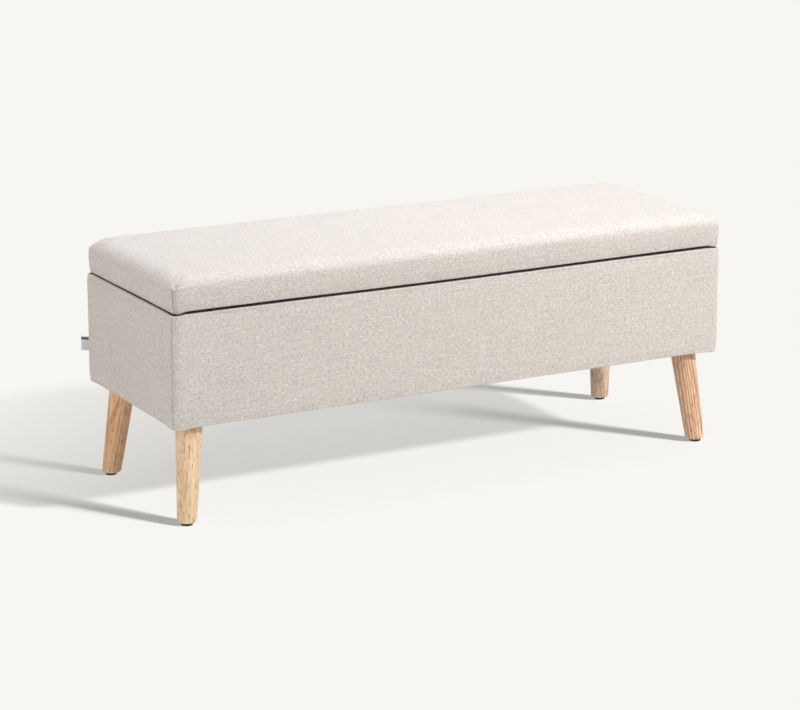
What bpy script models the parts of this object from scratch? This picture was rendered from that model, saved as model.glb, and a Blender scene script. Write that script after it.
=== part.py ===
"""Storage ottoman: an upholstered box on four splayed wooden legs, with a padded lid hinged at the back.

Metres, +Z up. +X runs along the length and -Y is the front. The origin is on the floor under the
middle of the box. The lid opens about the hinge line at the back, and a two-arm stay at each end
holds it: each stay is a parallelogram, so its joints turn in step with the lid.
"""

import math

import bmesh
import bpy
from mathutils import Vector

# Driving dimensions of the whole piece
LENGTH = 1.170
DEPTH = 0.403
BOX_BOTTOM = 0.188
BOX_TOP = 0.3945
LID_BOTTOM = 0.399
LID_EDGE = 0.4405
LID_TOP = 0.462
GAP = 0.0003
OVERCUT = 0.001

# Upholstery: fabric over wadding outside, bare fabric where it is turned in and stapled
PADDING = 0.005
TURN_UNDER = 0.0032
FABRIC = 0.0012
CORNER_RADIUS = 0.015
SOFT_EDGE = 0.003
EDGE_BREAK = 0.004
WRAP_BOTTOM = 0.3695
UNDER_WRAP = 0.015
RIM_RADIUS = 0.004

# Boards of the box
PANEL = 0.015
PANEL_BOTTOM = 0.1915
PANEL_TOP = 0.3915
BLOCK_LEG = 0.028
BLOCK_CLEARANCE = 0.0005
DUST_COVER = 0.001

# Lid
LID_BOARD = 0.012
LID_CORNER = 0.016
BOARD_CORNER = 0.022
BOARD_X = 0.571
BOARD_Y = 0.1915
LID_WRAP_END = 0.055
LID_WRAP_SIDE = 0.035
CROWN_RUN = 0.036
CROWN_RISE = 0.0195
CROWN_STEPS = 5
CORNER_SPREAD = 0.5
TOP_INSET = 0.100
TOP_CORNER = 0.036
LINING = 0.0011

# Legs, their plates, bolts and glides
LEG_CORNERS = {
    "front_left": (-1, -1),
    "front_right": (1, -1),
    "back_left": (-1, 1),
    "back_right": (1, 1),
}
FOOT_X = 0.552
FOOT_Y = 0.1745
LEG_SPLAY_X = 0.019
LEG_SPLAY_Y = 0.025
LEG_TOP = 0.1838
LEG_TOP_RADIUS = 0.0245
LEG_FOOT_RADIUS = 0.018
LEG_TOP_BREAK = 0.001
LEG_FOOT_ROUND = 0.002
GLIDE_RADIUS = 0.011
GLIDE_HEIGHT = 0.005
GLIDE_EDGE = 0.0015
GLIDE_PIN_RADIUS = 0.0015
GLIDE_PIN_TOP = 0.015
BOLT_RADIUS = 0.004
BOLT_BELOW = 0.028
BOLT_ABOVE = 0.021
PLATE_SIZE = 0.056
PLATE = 0.002
BOSS_RADIUS = 0.016
BOSS_LENGTH = 0.010
PANEL_HOLE_RADIUS = 0.007
PANEL_HOLE_LENGTH = 0.040

# Hinges
HINGE_Y = 0.206
HINGE_Z = 0.39675
HINGE_XS = {"left": -0.400, "middle": 0.0, "right": 0.400}
HINGE_LENGTH = 0.060
KNUCKLE_RADIUS = 0.003
PIN_RADIUS = 0.0015
LEAF = 0.0012
LEAF_OFFSET = 0.00135
LEAF_FRONT = 0.1835
LEAF_CLEARANCE = 0.0004
NECK_BACK = 0.002

# Stays, as offsets from the hinge line in Y and Z
STAY_BASE = (-0.070, -0.100)
STAY_LID = (-0.110, -0.012)
ARM_HALF_WIDTH = 0.007
ARM = 0.002
RIVET_RADIUS = 0.0025
RIVET_HEAD_RADIUS = 0.005
RIVET_HEAD = 0.0012
HOLE_CLEARANCE = 0.0003
LID_PIVOT_CLEARANCE = 0.0007
BRACKET = 0.0015
BRACKET_X = 0.5617
LOWER_ARM_X = 0.5592
UPPER_ARM_X = 0.5567
BRACKET_HALF = 0.012
TAB_RADIUS = 0.009
TAB_HALF = 0.014
FLANGE_WIDTH = 0.022
FLANGE_HALF = 0.020
HEAD_CLEARANCE = 0.0004

# Small parts
BUMPER_X = 0.500
BUMPER_Y = -0.1915
BUMPER_RADIUS = 0.005
BUMPER_EDGE = 0.001
TAG_LOW = 0.243
TAG_HIGH = 0.270
TAG_REACH = 0.0125
TAG_ANGLE = math.radians(32)

# Sizes that follow from the above
HALF_X = LENGTH / 2
HALF_Y = DEPTH / 2
PANEL_X = HALF_X - PADDING
PANEL_Y = HALF_Y - PADDING
INNER_X = PANEL_X - PANEL
INNER_Y = PANEL_Y - PANEL
FLOOR_TOP = PANEL_BOTTOM + PANEL
LINING_CHAMFER = BLOCK_LEG + BLOCK_CLEARANCE
LINING_CHAMFER_INSIDE = LINING_CHAMFER - FABRIC * (2 - math.sqrt(2))
DUST_TOP = PANEL_BOTTOM - GAP
DUST_BOTTOM = DUST_TOP - DUST_COVER
PLATE_TOP = DUST_BOTTOM - GAP
HINGE = Vector((0, HINGE_Y, HINGE_Z))

CORNER_STEPS = 6
ROUND_STEPS = 24
SMALL_STEPS = 12


# Helpers ---------------------------------------------------------------------------------------


def material(name, colour, roughness, metallic=0.0):
    """A plain Principled material."""
    result = bpy.data.materials.new(name)
    result.use_nodes = True
    shader = result.node_tree.nodes["Principled BSDF"]
    shader.inputs["Base Color"].default_value = (*colour, 1.0)
    shader.inputs["Roughness"].default_value = roughness
    shader.inputs["Metallic"].default_value = metallic
    result.diffuse_color = (*colour, 1.0)
    return result


def arc(centre, radius, start, end, steps):
    """Points on an arc in a plane, angles in degrees."""
    points = []
    for step in range(steps + 1):
        angle = math.radians(start + (end - start) * step / steps)
        points.append((centre[0] + radius * math.cos(angle), centre[1] + radius * math.sin(angle)))
    return points


def rounded_ring(half_x, half_y, radius, z):
    """A level rectangle with round corners."""
    points = []
    for quarter, (sx, sy) in enumerate(((1, 1), (-1, 1), (-1, -1), (1, -1))):
        centre = (sx * (half_x - radius), sy * (half_y - radius))
        start = 90 * quarter
        points += arc(centre, radius, start, start + 90, CORNER_STEPS)
    return [Vector((x, y, z)) for x, y in points]


def chamfered_ring(half_x, half_y, cut, z):
    """A level rectangle with cut corners, with as many points as a rounded ring."""
    points = []
    for sx, sy in ((1, 1), (-1, 1), (-1, -1), (1, -1)):
        along_x = Vector((sx * (half_x - cut), sy * half_y, z))
        along_y = Vector((sx * half_x, sy * (half_y - cut), z))
        start, end = (along_y, along_x) if sx == sy else (along_x, along_y)
        points += [start.lerp(end, step / CORNER_STEPS) for step in range(CORNER_STEPS + 1)]
    return points


def circle(centre, radius, steps, turn=None):
    """A circle of points about centre, level or turned by a rotation."""
    points = []
    for step in range(steps):
        angle = 2 * math.pi * step / steps
        offset = Vector((radius * math.cos(angle), radius * math.sin(angle), 0))
        if turn is not None:
            offset = turn @ offset
        points.append(Vector(centre) + offset)
    return points


def loft(rings, closed=False):
    """Join rings of equal count into one closed body, capped at its ends or closed on itself."""
    body = bmesh.new()
    rows = [[body.verts.new(point) for point in ring] for ring in rings]
    pairs = list(zip(rows, rows[1:]))
    if closed:
        pairs.append((rows[-1], rows[0]))
    for lower, upper in pairs:
        count = len(lower)
        for index in range(count):
            following = (index + 1) % count
            body.faces.new((lower[index], lower[following], upper[following], upper[index]))
    if not closed:
        body.faces.new(reversed(rows[0]))
        body.faces.new(rows[-1])
    return body


def block(low, high):
    """A box between two corners."""
    body = bmesh.new()
    bmesh.ops.create_cube(body, size=1.0)
    low = Vector(low)
    high = Vector(high)
    for vertex in body.verts:
        for axis in range(3):
            vertex.co[axis] = high[axis] if vertex.co[axis] > 0 else low[axis]
    return body


def rounded_slab(half_x, half_y, radius, z_low, z_high):
    """A level board with round corners."""
    return loft([rounded_ring(half_x, half_y, radius, z) for z in (z_low, z_high)])


def upright_prism(outline, z_low, z_high):
    """An outline in X and Y, extruded in Z."""
    return loft([[Vector((x, y, z)) for x, y in outline] for z in (z_low, z_high)])


def side_prism(outline, x_low, x_high):
    """An outline in Y and Z, extruded in X."""
    return loft([[Vector((x, y, z)) for y, z in outline] for x in (x_low, x_high)])


def turned(profile, origin, direction, steps):
    """A body turned about a line: profile gives radius and distance along the line."""
    direction = Vector(direction).normalized()
    turn = Vector((0, 0, 1)).rotation_difference(direction)
    rings = [circle(Vector(origin) + direction * along, radius, steps, turn) for radius, along in profile]
    return loft(rings)


def combine(base, tool, operation):
    """Boolean of two bodies, which uses both of them up."""
    pieces = []
    for body in (base, tool):
        bmesh.ops.recalc_face_normals(body, faces=body.faces)
        mesh = bpy.data.meshes.new("boolean")
        body.to_mesh(mesh)
        body.free()
        piece = bpy.data.objects.new("boolean", mesh)
        bpy.context.scene.collection.objects.link(piece)
        pieces.append(piece)
    modifier = pieces[0].modifiers.new("boolean", "BOOLEAN")
    modifier.operation = operation
    modifier.solver = "EXACT"
    modifier.object = pieces[1]
    bpy.context.view_layer.update()
    evaluated = pieces[0].evaluated_get(bpy.context.evaluated_depsgraph_get())
    result = bmesh.new()
    result.from_mesh(evaluated.data)
    for piece in pieces:
        bpy.data.objects.remove(piece)
    return result


def union(base, tool):
    return combine(base, tool, "UNION")


def cut(base, tool):
    return combine(base, tool, "DIFFERENCE")


def add_piece(name, body, look, parent=None, smooth=False):
    """Make a named object of a body built in world places, with its origin at its parent's."""
    bmesh.ops.recalc_face_normals(body, faces=body.faces)
    origin = parent.matrix_world.translation if parent else Vector((0, 0, 0))
    bmesh.ops.translate(body, verts=body.verts, vec=-origin)
    mesh = bpy.data.meshes.new(name)
    body.to_mesh(mesh)
    body.free()
    mesh.materials.append(look)
    if smooth:
        mesh.shade_smooth()
        mesh.set_sharp_from_angle(angle=math.radians(35))
    piece = bpy.data.objects.new(name, mesh)
    bpy.context.scene.collection.objects.link(piece)
    piece.parent = parent
    return piece


def axis_empty(name, place, parent=None):
    """An empty on a joint's axis."""
    empty = bpy.data.objects.new(name, None)
    bpy.context.scene.collection.objects.link(empty)
    empty.parent = parent
    empty.location = Vector(place) - (parent.matrix_world.translation if parent else Vector((0, 0, 0)))
    bpy.context.view_layer.update()
    return empty


# Box -------------------------------------------------------------------------------------------


def add_panels(board):
    """Front, back, end and bottom boards, with glue blocks in the corners."""
    for name, side in (("front_panel", -1), ("back_panel", 1)):
        radius = CORNER_RADIUS - PADDING
        centre_x = PANEL_X - radius
        centre_y = PANEL_Y - radius
        outline = [(-PANEL_X, INNER_Y), (PANEL_X, INNER_Y)]
        outline += arc((centre_x, centre_y), radius, 0, 90, CORNER_STEPS)
        outline += arc((-centre_x, centre_y), radius, 90, 180, CORNER_STEPS)
        outline = [(x, side * y) for x, y in outline]
        add_piece(name, upright_prism(outline, PANEL_BOTTOM, PANEL_TOP), board)

    for name, side in (("left_end_panel", -1), ("right_end_panel", 1)):
        near, far = sorted((side * INNER_X, side * PANEL_X))
        low = (near, GAP - INNER_Y, PANEL_BOTTOM)
        high = (far, INNER_Y - GAP, PANEL_TOP)
        add_piece(name, block(low, high), board)

    reach_x = INNER_X - GAP
    reach_y = INNER_Y - GAP
    bottom = block((-reach_x, -reach_y, PANEL_BOTTOM), (reach_x, reach_y, FLOOR_TOP))
    for side_x, side_y in LEG_CORNERS.values():
        top, direction = leg_axis(side_x, side_y)
        profile = [(PANEL_HOLE_RADIUS, 0), (PANEL_HOLE_RADIUS, PANEL_HOLE_LENGTH)]
        bottom = cut(bottom, turned(profile, top, direction, SMALL_STEPS))
    add_piece("bottom_panel", bottom, board)

    for corner, (side_x, side_y) in LEG_CORNERS.items():
        outline = [
            (side_x * reach_x, side_y * reach_y),
            (side_x * (reach_x - BLOCK_LEG), side_y * reach_y),
            (side_x * reach_x, side_y * (reach_y - BLOCK_LEG)),
        ]
        add_piece(corner + "_corner_block", upright_prism(outline, FLOOR_TOP + GAP, PANEL_TOP), board)


def add_box_cover(linen):
    """The padded sleeve round the box: over the top edge, down inside, and turned in underneath."""
    soft_x = HALF_X - SOFT_EDGE
    soft_y = HALF_Y - SOFT_EDGE
    soft_radius = CORNER_RADIUS - SOFT_EDGE
    wrap_x = INNER_X - GAP
    wrap_y = INNER_Y - GAP
    inside_x = wrap_x - FABRIC
    inside_y = wrap_y - FABRIC
    board_x = PANEL_X + GAP
    board_y = PANEL_Y + GAP
    board_radius = CORNER_RADIUS - PADDING + GAP
    rim_x = HALF_X - UNDER_WRAP
    rim_y = HALF_Y - UNDER_WRAP
    rings = [
        rounded_ring(soft_x, soft_y, soft_radius, BOX_BOTTOM),
        rounded_ring(HALF_X, HALF_Y, CORNER_RADIUS, BOX_BOTTOM + EDGE_BREAK),
        rounded_ring(HALF_X, HALF_Y, CORNER_RADIUS, BOX_TOP - EDGE_BREAK),
        rounded_ring(soft_x, soft_y, soft_radius, BOX_TOP),
        chamfered_ring(inside_x, inside_y, LINING_CHAMFER_INSIDE, BOX_TOP),
        chamfered_ring(inside_x, inside_y, LINING_CHAMFER_INSIDE, WRAP_BOTTOM),
        chamfered_ring(wrap_x, wrap_y, LINING_CHAMFER, WRAP_BOTTOM),
        chamfered_ring(wrap_x, wrap_y, LINING_CHAMFER, PANEL_TOP + GAP),
        rounded_ring(board_x, board_y, board_radius, PANEL_TOP + GAP),
        rounded_ring(board_x, board_y, board_radius, PANEL_BOTTOM - GAP),
        rounded_ring(rim_x, rim_y, RIM_RADIUS, PANEL_BOTTOM - GAP),
        rounded_ring(rim_x, rim_y, RIM_RADIUS, BOX_BOTTOM),
    ]
    add_piece("box_cover", loft(rings, closed=True), linen, smooth=True)


def add_linings(black_cloth):
    """The thin tub inside the box and the sheet stapled under it."""
    outer_x = INNER_X - GAP
    outer_y = INNER_Y - GAP
    inner_x = outer_x - FABRIC
    inner_y = outer_y - FABRIC
    floor = FLOOR_TOP + GAP
    top = WRAP_BOTTOM - GAP
    rings = [
        chamfered_ring(outer_x, outer_y, LINING_CHAMFER, floor),
        chamfered_ring(outer_x, outer_y, LINING_CHAMFER, top),
        chamfered_ring(inner_x, inner_y, LINING_CHAMFER_INSIDE, top),
        chamfered_ring(inner_x, inner_y, LINING_CHAMFER_INSIDE, floor + FABRIC),
    ]
    add_piece("interior_lining", loft(rings), black_cloth)

    reach_x = HALF_X - UNDER_WRAP - GAP
    reach_y = HALF_Y - UNDER_WRAP - GAP
    sheet = rounded_slab(reach_x, reach_y, RIM_RADIUS, DUST_BOTTOM, DUST_TOP)
    for side_x, side_y in LEG_CORNERS.values():
        centre = leg_centre(side_x, side_y, DUST_TOP)
        profile = [(PANEL_HOLE_RADIUS, -DUST_COVER - OVERCUT), (PANEL_HOLE_RADIUS, OVERCUT)]
        sheet = cut(sheet, turned(profile, centre, (0, 0, 1), SMALL_STEPS))
    add_piece("dust_cover", sheet, black_cloth)


def add_label_tag(cloth):
    """A small folded tag sewn in at the back left corner."""
    centre = Vector((CORNER_RADIUS - HALF_X, HALF_Y - CORNER_RADIUS, 0))
    outward = Vector((-math.cos(TAG_ANGLE), math.sin(TAG_ANGLE), 0))
    across = Vector((outward.y, -outward.x, 0)) * (FABRIC / 2)
    start = centre + outward * (CORNER_RADIUS + GAP)
    end = centre + outward * (CORNER_RADIUS + TAG_REACH)
    outline = [(point.x, point.y) for point in (start - across, end - across, end + across, start + across)]
    add_piece("label_tag", upright_prism(outline, TAG_LOW, TAG_HIGH), cloth)


# Legs ------------------------------------------------------------------------------------------


def leg_axis(side_x, side_y):
    """The middle of a leg's top face and the leg's direction, up and inwards."""
    foot = Vector((side_x * FOOT_X, side_y * FOOT_Y, 0))
    top = foot + Vector((-side_x * LEG_SPLAY_X, -side_y * LEG_SPLAY_Y, LEG_TOP))
    return top, (top - foot).normalized()


def leg_centre(side_x, side_y, z):
    """A point on a leg's axis at a height."""
    top, direction = leg_axis(side_x, side_y)
    return top + direction * ((z - top.z) / direction.z)


def leg_body(side_x, side_y):
    """A round taper, level at the foot and square to its axis at the top."""
    top, direction = leg_axis(side_x, side_y)
    turn = Vector((0, 0, 1)).rotation_difference(direction)
    foot_z = GLIDE_HEIGHT + GAP
    rings = [
        circle(leg_centre(side_x, side_y, foot_z), LEG_FOOT_RADIUS - LEG_FOOT_ROUND, ROUND_STEPS),
        circle(leg_centre(side_x, side_y, foot_z + LEG_FOOT_ROUND), LEG_FOOT_RADIUS, ROUND_STEPS),
        circle(top - direction * LEG_TOP_BREAK, LEG_TOP_RADIUS, ROUND_STEPS, turn),
        circle(top, LEG_TOP_RADIUS - LEG_TOP_BREAK, ROUND_STEPS, turn),
    ]
    return loft(rings)


def plate_body(top, direction):
    """A level square plate with a round boss below it that is square to the leg."""
    half = PLATE_SIZE / 2
    low = Vector((top.x - half, top.y - half, PLATE_TOP - PLATE))
    high = Vector((top.x + half, top.y + half, PLATE_TOP))
    boss = turned([(BOSS_RADIUS, GAP), (BOSS_RADIUS, BOSS_LENGTH)], top, direction, ROUND_STEPS)
    above_middle = block((low.x, low.y, PLATE_TOP - PLATE / 2), (high.x, high.y, BOX_TOP))
    return union(block(low, high), cut(boss, above_middle))


def add_legs(wood, plastic, zinc, black_steel):
    """Tapered round legs, each screwed into an angled plate by a bolt, with a pad on its foot."""
    for corner, (side_x, side_y) in LEG_CORNERS.items():
        top, direction = leg_axis(side_x, side_y)
        foot = leg_centre(side_x, side_y, 0)
        bolt_hole = BOLT_RADIUS + GAP

        leg = leg_body(side_x, side_y)
        hole = [(bolt_hole, -BOLT_BELOW - OVERCUT), (bolt_hole, OVERCUT)]
        leg = cut(leg, turned(hole, top, direction, SMALL_STEPS))
        pin_hole = GLIDE_PIN_RADIUS + GAP
        hole = [(pin_hole, OVERCUT), (pin_hole, GLIDE_PIN_TOP + OVERCUT)]
        leg = cut(leg, turned(hole, foot, (0, 0, 1), SMALL_STEPS))
        add_piece(corner + "_leg", leg, wood, smooth=True)

        bolt = [(BOLT_RADIUS, -BOLT_BELOW), (BOLT_RADIUS, BOLT_ABOVE)]
        add_piece(corner + "_leg_bolt", turned(bolt, top, direction, SMALL_STEPS), zinc, smooth=True)

        plate = plate_body(top, direction)
        hole = [(bolt_hole, -OVERCUT), (bolt_hole, BOSS_LENGTH + OVERCUT)]
        plate = cut(plate, turned(hole, top, direction, SMALL_STEPS))
        add_piece(corner + "_leg_plate", plate, black_steel)

        pad = [
            (GLIDE_RADIUS - GLIDE_EDGE, 0),
            (GLIDE_RADIUS, GLIDE_EDGE),
            (GLIDE_RADIUS, GLIDE_HEIGHT),
            (GLIDE_PIN_RADIUS, GLIDE_HEIGHT),
            (GLIDE_PIN_RADIUS, GLIDE_PIN_TOP),
        ]
        add_piece(corner + "_glide", turned(pad, foot, (0, 0, 1), ROUND_STEPS), plastic, smooth=True)


# Lid -------------------------------------------------------------------------------------------


def crown_rings(offset):
    """The lid's outside from its straight side to the flat middle, or the same shape offset inwards."""
    rings = []
    for step in range(CROWN_STEPS + 1):
        angle = math.radians(90 * step / CROWN_STEPS)
        inset = CROWN_RUN * (1 - math.cos(angle)) + offset
        z = LID_EDGE + CROWN_RISE * math.sin(angle) - offset
        radius = LID_CORNER - offset + CORNER_SPREAD * (inset - offset)
        rings.append(rounded_ring(HALF_X - inset, HALF_Y - inset, radius, z))
    inset = TOP_INSET + offset
    rings.append(rounded_ring(HALF_X - inset, HALF_Y - inset, TOP_CORNER, LID_TOP - offset))
    return rings


def add_lid(lid_axis, board, foam, linen, black_cloth):
    """Board, foam and the sewn cap over them, with a lining below."""
    board_bottom = LID_BOTTOM + TURN_UNDER + GAP
    board_top = board_bottom + LID_BOARD
    slab = rounded_slab(BOARD_X, BOARD_Y, BOARD_CORNER, board_bottom, board_top)
    add_piece("lid_board", slab, board, lid_axis)

    rings = [rounded_ring(BOARD_X, BOARD_Y, BOARD_CORNER, board_top + GAP)] + crown_rings(PADDING)
    add_piece("lid_foam", loft(rings), foam, lid_axis, smooth=True)

    rim_x = HALF_X - LID_WRAP_END
    rim_y = HALF_Y - LID_WRAP_SIDE
    inside_bottom = LID_BOTTOM + TURN_UNDER
    cavity = PADDING - GAP
    rings = [
        rounded_ring(rim_x, rim_y, RIM_RADIUS, LID_BOTTOM),
        rounded_ring(HALF_X - SOFT_EDGE, HALF_Y - SOFT_EDGE, LID_CORNER - SOFT_EDGE, LID_BOTTOM),
        rounded_ring(HALF_X, HALF_Y, LID_CORNER, LID_BOTTOM + EDGE_BREAK),
    ]
    outside = rings + crown_rings(0)
    inside = [
        rounded_ring(rim_x, rim_y, RIM_RADIUS, inside_bottom),
        rounded_ring(HALF_X - cavity, HALF_Y - cavity, LID_CORNER - cavity, inside_bottom),
    ]
    inside += crown_rings(cavity)
    add_piece("lid_cover", loft(list(reversed(outside)) + inside), linen, lid_axis, smooth=True)

    lining = rounded_slab(rim_x - GAP, rim_y - GAP, RIM_RADIUS, inside_bottom - LINING, inside_bottom)
    add_piece("lid_lining", lining, black_cloth, lid_axis)


def add_bumpers(lid_axis, plastic):
    """Two small pads at the front that the lid comes down on."""
    low = BOX_TOP + 2 * GAP
    for name, x in (("left_bumper", -BUMPER_X), ("right_bumper", BUMPER_X)):
        profile = [
            (BUMPER_RADIUS - BUMPER_EDGE, low),
            (BUMPER_RADIUS, low + BUMPER_EDGE),
            (BUMPER_RADIUS, LID_BOTTOM - GAP),
        ]
        pad = turned(profile, (x, BUMPER_Y, 0), (0, 0, 1), SMALL_STEPS)
        add_piece(name, pad, plastic, lid_axis, smooth=True)


# Hinges ----------------------------------------------------------------------------------------


def hinge_leaf(x, side, knuckles):
    """One leaf with its knuckles: side is -1 for the leaf on the box and 1 for the one on the lid."""
    half = HINGE_LENGTH / 2
    middle = HINGE_Z + side * LEAF_OFFSET
    low_z = middle - LEAF / 2
    high_z = middle + LEAF / 2
    plate_back = HINGE_Y - KNUCKLE_RADIUS - LEAF_CLEARANCE
    leaf = block((x - half, LEAF_FRONT, low_z), (x + half, plate_back, high_z))
    for start, end in knuckles:
        neck = block((x + start, plate_back - OVERCUT, low_z), (x + end, HINGE_Y - NECK_BACK, high_z))
        leaf = union(leaf, neck)
        barrel = [(KNUCKLE_RADIUS, start), (KNUCKLE_RADIUS, end)]
        leaf = union(leaf, turned(barrel, (x, HINGE_Y, HINGE_Z), (1, 0, 0), SMALL_STEPS))
    bore_radius = PIN_RADIUS + GAP
    bore = [(bore_radius, -half - OVERCUT), (bore_radius, half + OVERCUT)]
    return cut(leaf, turned(bore, (x, HINGE_Y, HINGE_Z), (1, 0, 0), SMALL_STEPS))


def add_hinges(lid_axis, steel):
    """Three butt hinges along the back edge, their leaves on the box's rim and under the lid."""
    half = HINGE_LENGTH / 2
    third = HINGE_LENGTH / 6
    for place, x in HINGE_XS.items():
        box_knuckles = [(-half, -third - GAP), (third + GAP, half)]
        lid_knuckles = [(-third + GAP, third - GAP)]
        add_piece(place + "_hinge_box_leaf", hinge_leaf(x, -1, box_knuckles), steel)
        add_piece(place + "_hinge_lid_leaf", hinge_leaf(x, 1, lid_knuckles), steel, lid_axis)
        pin = turned([(PIN_RADIUS, -half), (PIN_RADIUS, half)], (x, HINGE_Y, HINGE_Z), (1, 0, 0), SMALL_STEPS)
        add_piece(place + "_hinge_pin", pin, steel, smooth=True)


# Stays -----------------------------------------------------------------------------------------


def arm_outline(start, end, half_width):
    """A bar with round ends about two pivots, in Y and Z."""
    along = math.degrees(math.atan2(end[1] - start[1], end[0] - start[0]))
    outline = arc(end, half_width, along - 90, along + 90, CORNER_STEPS)
    outline += arc(start, half_width, along + 90, along + 270, CORNER_STEPS)
    return outline


def pivot_hole(pivot, radius, x_low, x_high):
    """A cutter for a rivet's hole, longer than the plate it goes through."""
    profile = [(radius, x_low - OVERCUT), (radius, x_high + OVERCUT)]
    return turned(profile, (0, pivot[0], pivot[1]), (1, 0, 0), SMALL_STEPS)


def rivet(pivot, heads, shank, side):
    """A rivet about a pivot: heads are X ranges, and the shank runs from one X to another."""
    places = sorted(side * x for x in shank)
    body = turned([(RIVET_RADIUS, places[0]), (RIVET_RADIUS, places[1])], (0, *pivot), (1, 0, 0), SMALL_STEPS)
    for head in heads:
        low, high = sorted(side * x for x in head)
        profile = [(RIVET_HEAD_RADIUS, low), (RIVET_HEAD_RADIUS, high)]
        body = union(body, turned(profile, (0, *pivot), (1, 0, 0), SMALL_STEPS))
    return body


def add_stay(name, side, lid_axis, steel):
    """One two-arm stay: box bracket, lower arm, upper arm and lid bracket, with three rivets."""
    base = (HINGE_Y + STAY_BASE[0], HINGE_Z + STAY_BASE[1])
    lid = (HINGE_Y + STAY_LID[0], HINGE_Z + STAY_LID[1])
    knee = (base[0] + STAY_LID[0], base[1] + STAY_LID[1])
    hole_radius = RIVET_RADIUS + HOLE_CLEARANCE
    base_axis = axis_empty(name + "_stay_base_axis", (side * LOWER_ARM_X, *base))
    knee_axis = axis_empty(name + "_stay_knee_axis", (side * UPPER_ARM_X, *knee), base_axis)

    def plate(outline, x_low, thickness, pivots):
        low, high = sorted((side * x_low, side * (x_low + thickness)))
        body = side_prism(outline, low, high)
        for pivot, radius in pivots:
            body = cut(body, pivot_hole(pivot, radius, low, high))
        return body

    low_end = (base[0], base[1] - BRACKET_HALF)
    high_end = (base[0], base[1] + BRACKET_HALF)
    outline = arm_outline(low_end, high_end, BRACKET_HALF)
    bracket = plate(outline, BRACKET_X, BRACKET, [(base, hole_radius)])
    add_piece(name + "_stay_box_bracket", bracket, steel)

    outline = arm_outline(base, knee, ARM_HALF_WIDTH)
    lower = plate(outline, LOWER_ARM_X, ARM, [(base, hole_radius), (knee, hole_radius)])
    add_piece(name + "_stay_lower_arm", lower, steel, base_axis)

    lid_hole_radius = RIVET_RADIUS + LID_PIVOT_CLEARANCE
    outline = arm_outline(knee, lid, ARM_HALF_WIDTH)
    upper = plate(outline, UPPER_ARM_X, ARM, [(knee, hole_radius), (lid, lid_hole_radius)])
    add_piece(name + "_stay_upper_arm", upper, steel, knee_axis)

    tab_top = LID_BOTTOM - GAP
    tab = [(lid[0] + TAB_HALF, tab_top), (lid[0] - TAB_HALF, tab_top)]
    tab += arc(lid, TAB_RADIUS, 180, 360, CORNER_STEPS)
    lid_bracket = plate(tab, LOWER_ARM_X, ARM, [(lid, hole_radius)])
    flange_ends = sorted((side * (LOWER_ARM_X - FLANGE_WIDTH), side * (LOWER_ARM_X + ARM)))
    flange_low = (flange_ends[0], lid[0] - FLANGE_HALF, tab_top - ARM)
    flange_high = (flange_ends[1], lid[0] + FLANGE_HALF, tab_top)
    lid_bracket = union(lid_bracket, block(flange_low, flange_high))
    add_piece(name + "_stay_lid_bracket", lid_bracket, steel, lid_axis)

    inner_face = UPPER_ARM_X - HEAD_CLEARANCE
    inner_head = (inner_face - RIVET_HEAD, inner_face)
    outer_face = LOWER_ARM_X + ARM + HEAD_CLEARANCE
    outer_head = (outer_face, outer_face + RIVET_HEAD)
    base_face = LOWER_ARM_X - HEAD_CLEARANCE
    base_head = (base_face - RIVET_HEAD, base_face)
    base_shank = (base_face - RIVET_HEAD / 2, BRACKET_X + BRACKET)
    through = (inner_face - RIVET_HEAD / 2, outer_face + RIVET_HEAD / 2)
    add_piece(name + "_stay_base_rivet", rivet(base, [base_head], base_shank, side), steel)
    knee_rivet = rivet(knee, [inner_head, outer_head], through, side)
    add_piece(name + "_stay_knee_rivet", knee_rivet, steel, base_axis)
    lid_rivet = rivet(lid, [inner_head, outer_head], through, side)
    add_piece(name + "_stay_lid_rivet", lid_rivet, steel, lid_axis)


def main():
    for piece in list(bpy.data.objects):
        bpy.data.objects.remove(piece)
    linen = material("linen", (0.66, 0.60, 0.51), 0.9)
    tag_cloth = material("tag_cloth", (0.70, 0.69, 0.67), 0.85)
    black_cloth = material("black_cloth", (0.02, 0.02, 0.02), 0.95)
    board = material("fibreboard", (0.45, 0.32, 0.20), 0.8)
    foam = material("foam", (0.80, 0.76, 0.60), 0.95)
    wood = material("oak", (0.62, 0.40, 0.21), 0.5)
    plastic = material("black_plastic", (0.02, 0.02, 0.02), 0.5)
    zinc = material("zinc", (0.60, 0.60, 0.62), 0.35, 1.0)
    black_steel = material("black_steel", (0.03, 0.03, 0.03), 0.45, 0.6)

    add_panels(board)
    add_box_cover(linen)
    add_linings(black_cloth)
    add_label_tag(tag_cloth)
    add_legs(wood, plastic, zinc, black_steel)

    lid_axis = axis_empty("lid_hinge_axis", HINGE)
    add_lid(lid_axis, board, foam, linen, black_cloth)
    add_bumpers(lid_axis, plastic)
    add_hinges(lid_axis, zinc)
    for name, side in (("left", -1), ("right", 1)):
        add_stay(name, side, lid_axis, zinc)


main()
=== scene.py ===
"""Looks for the storage ottoman: sewn linen covers, linings, oak legs, fixings, floor and light."""

import math
import random

import bmesh
import bpy
import numpy as np
from mathutils import Matrix, Vector, noise


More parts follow.
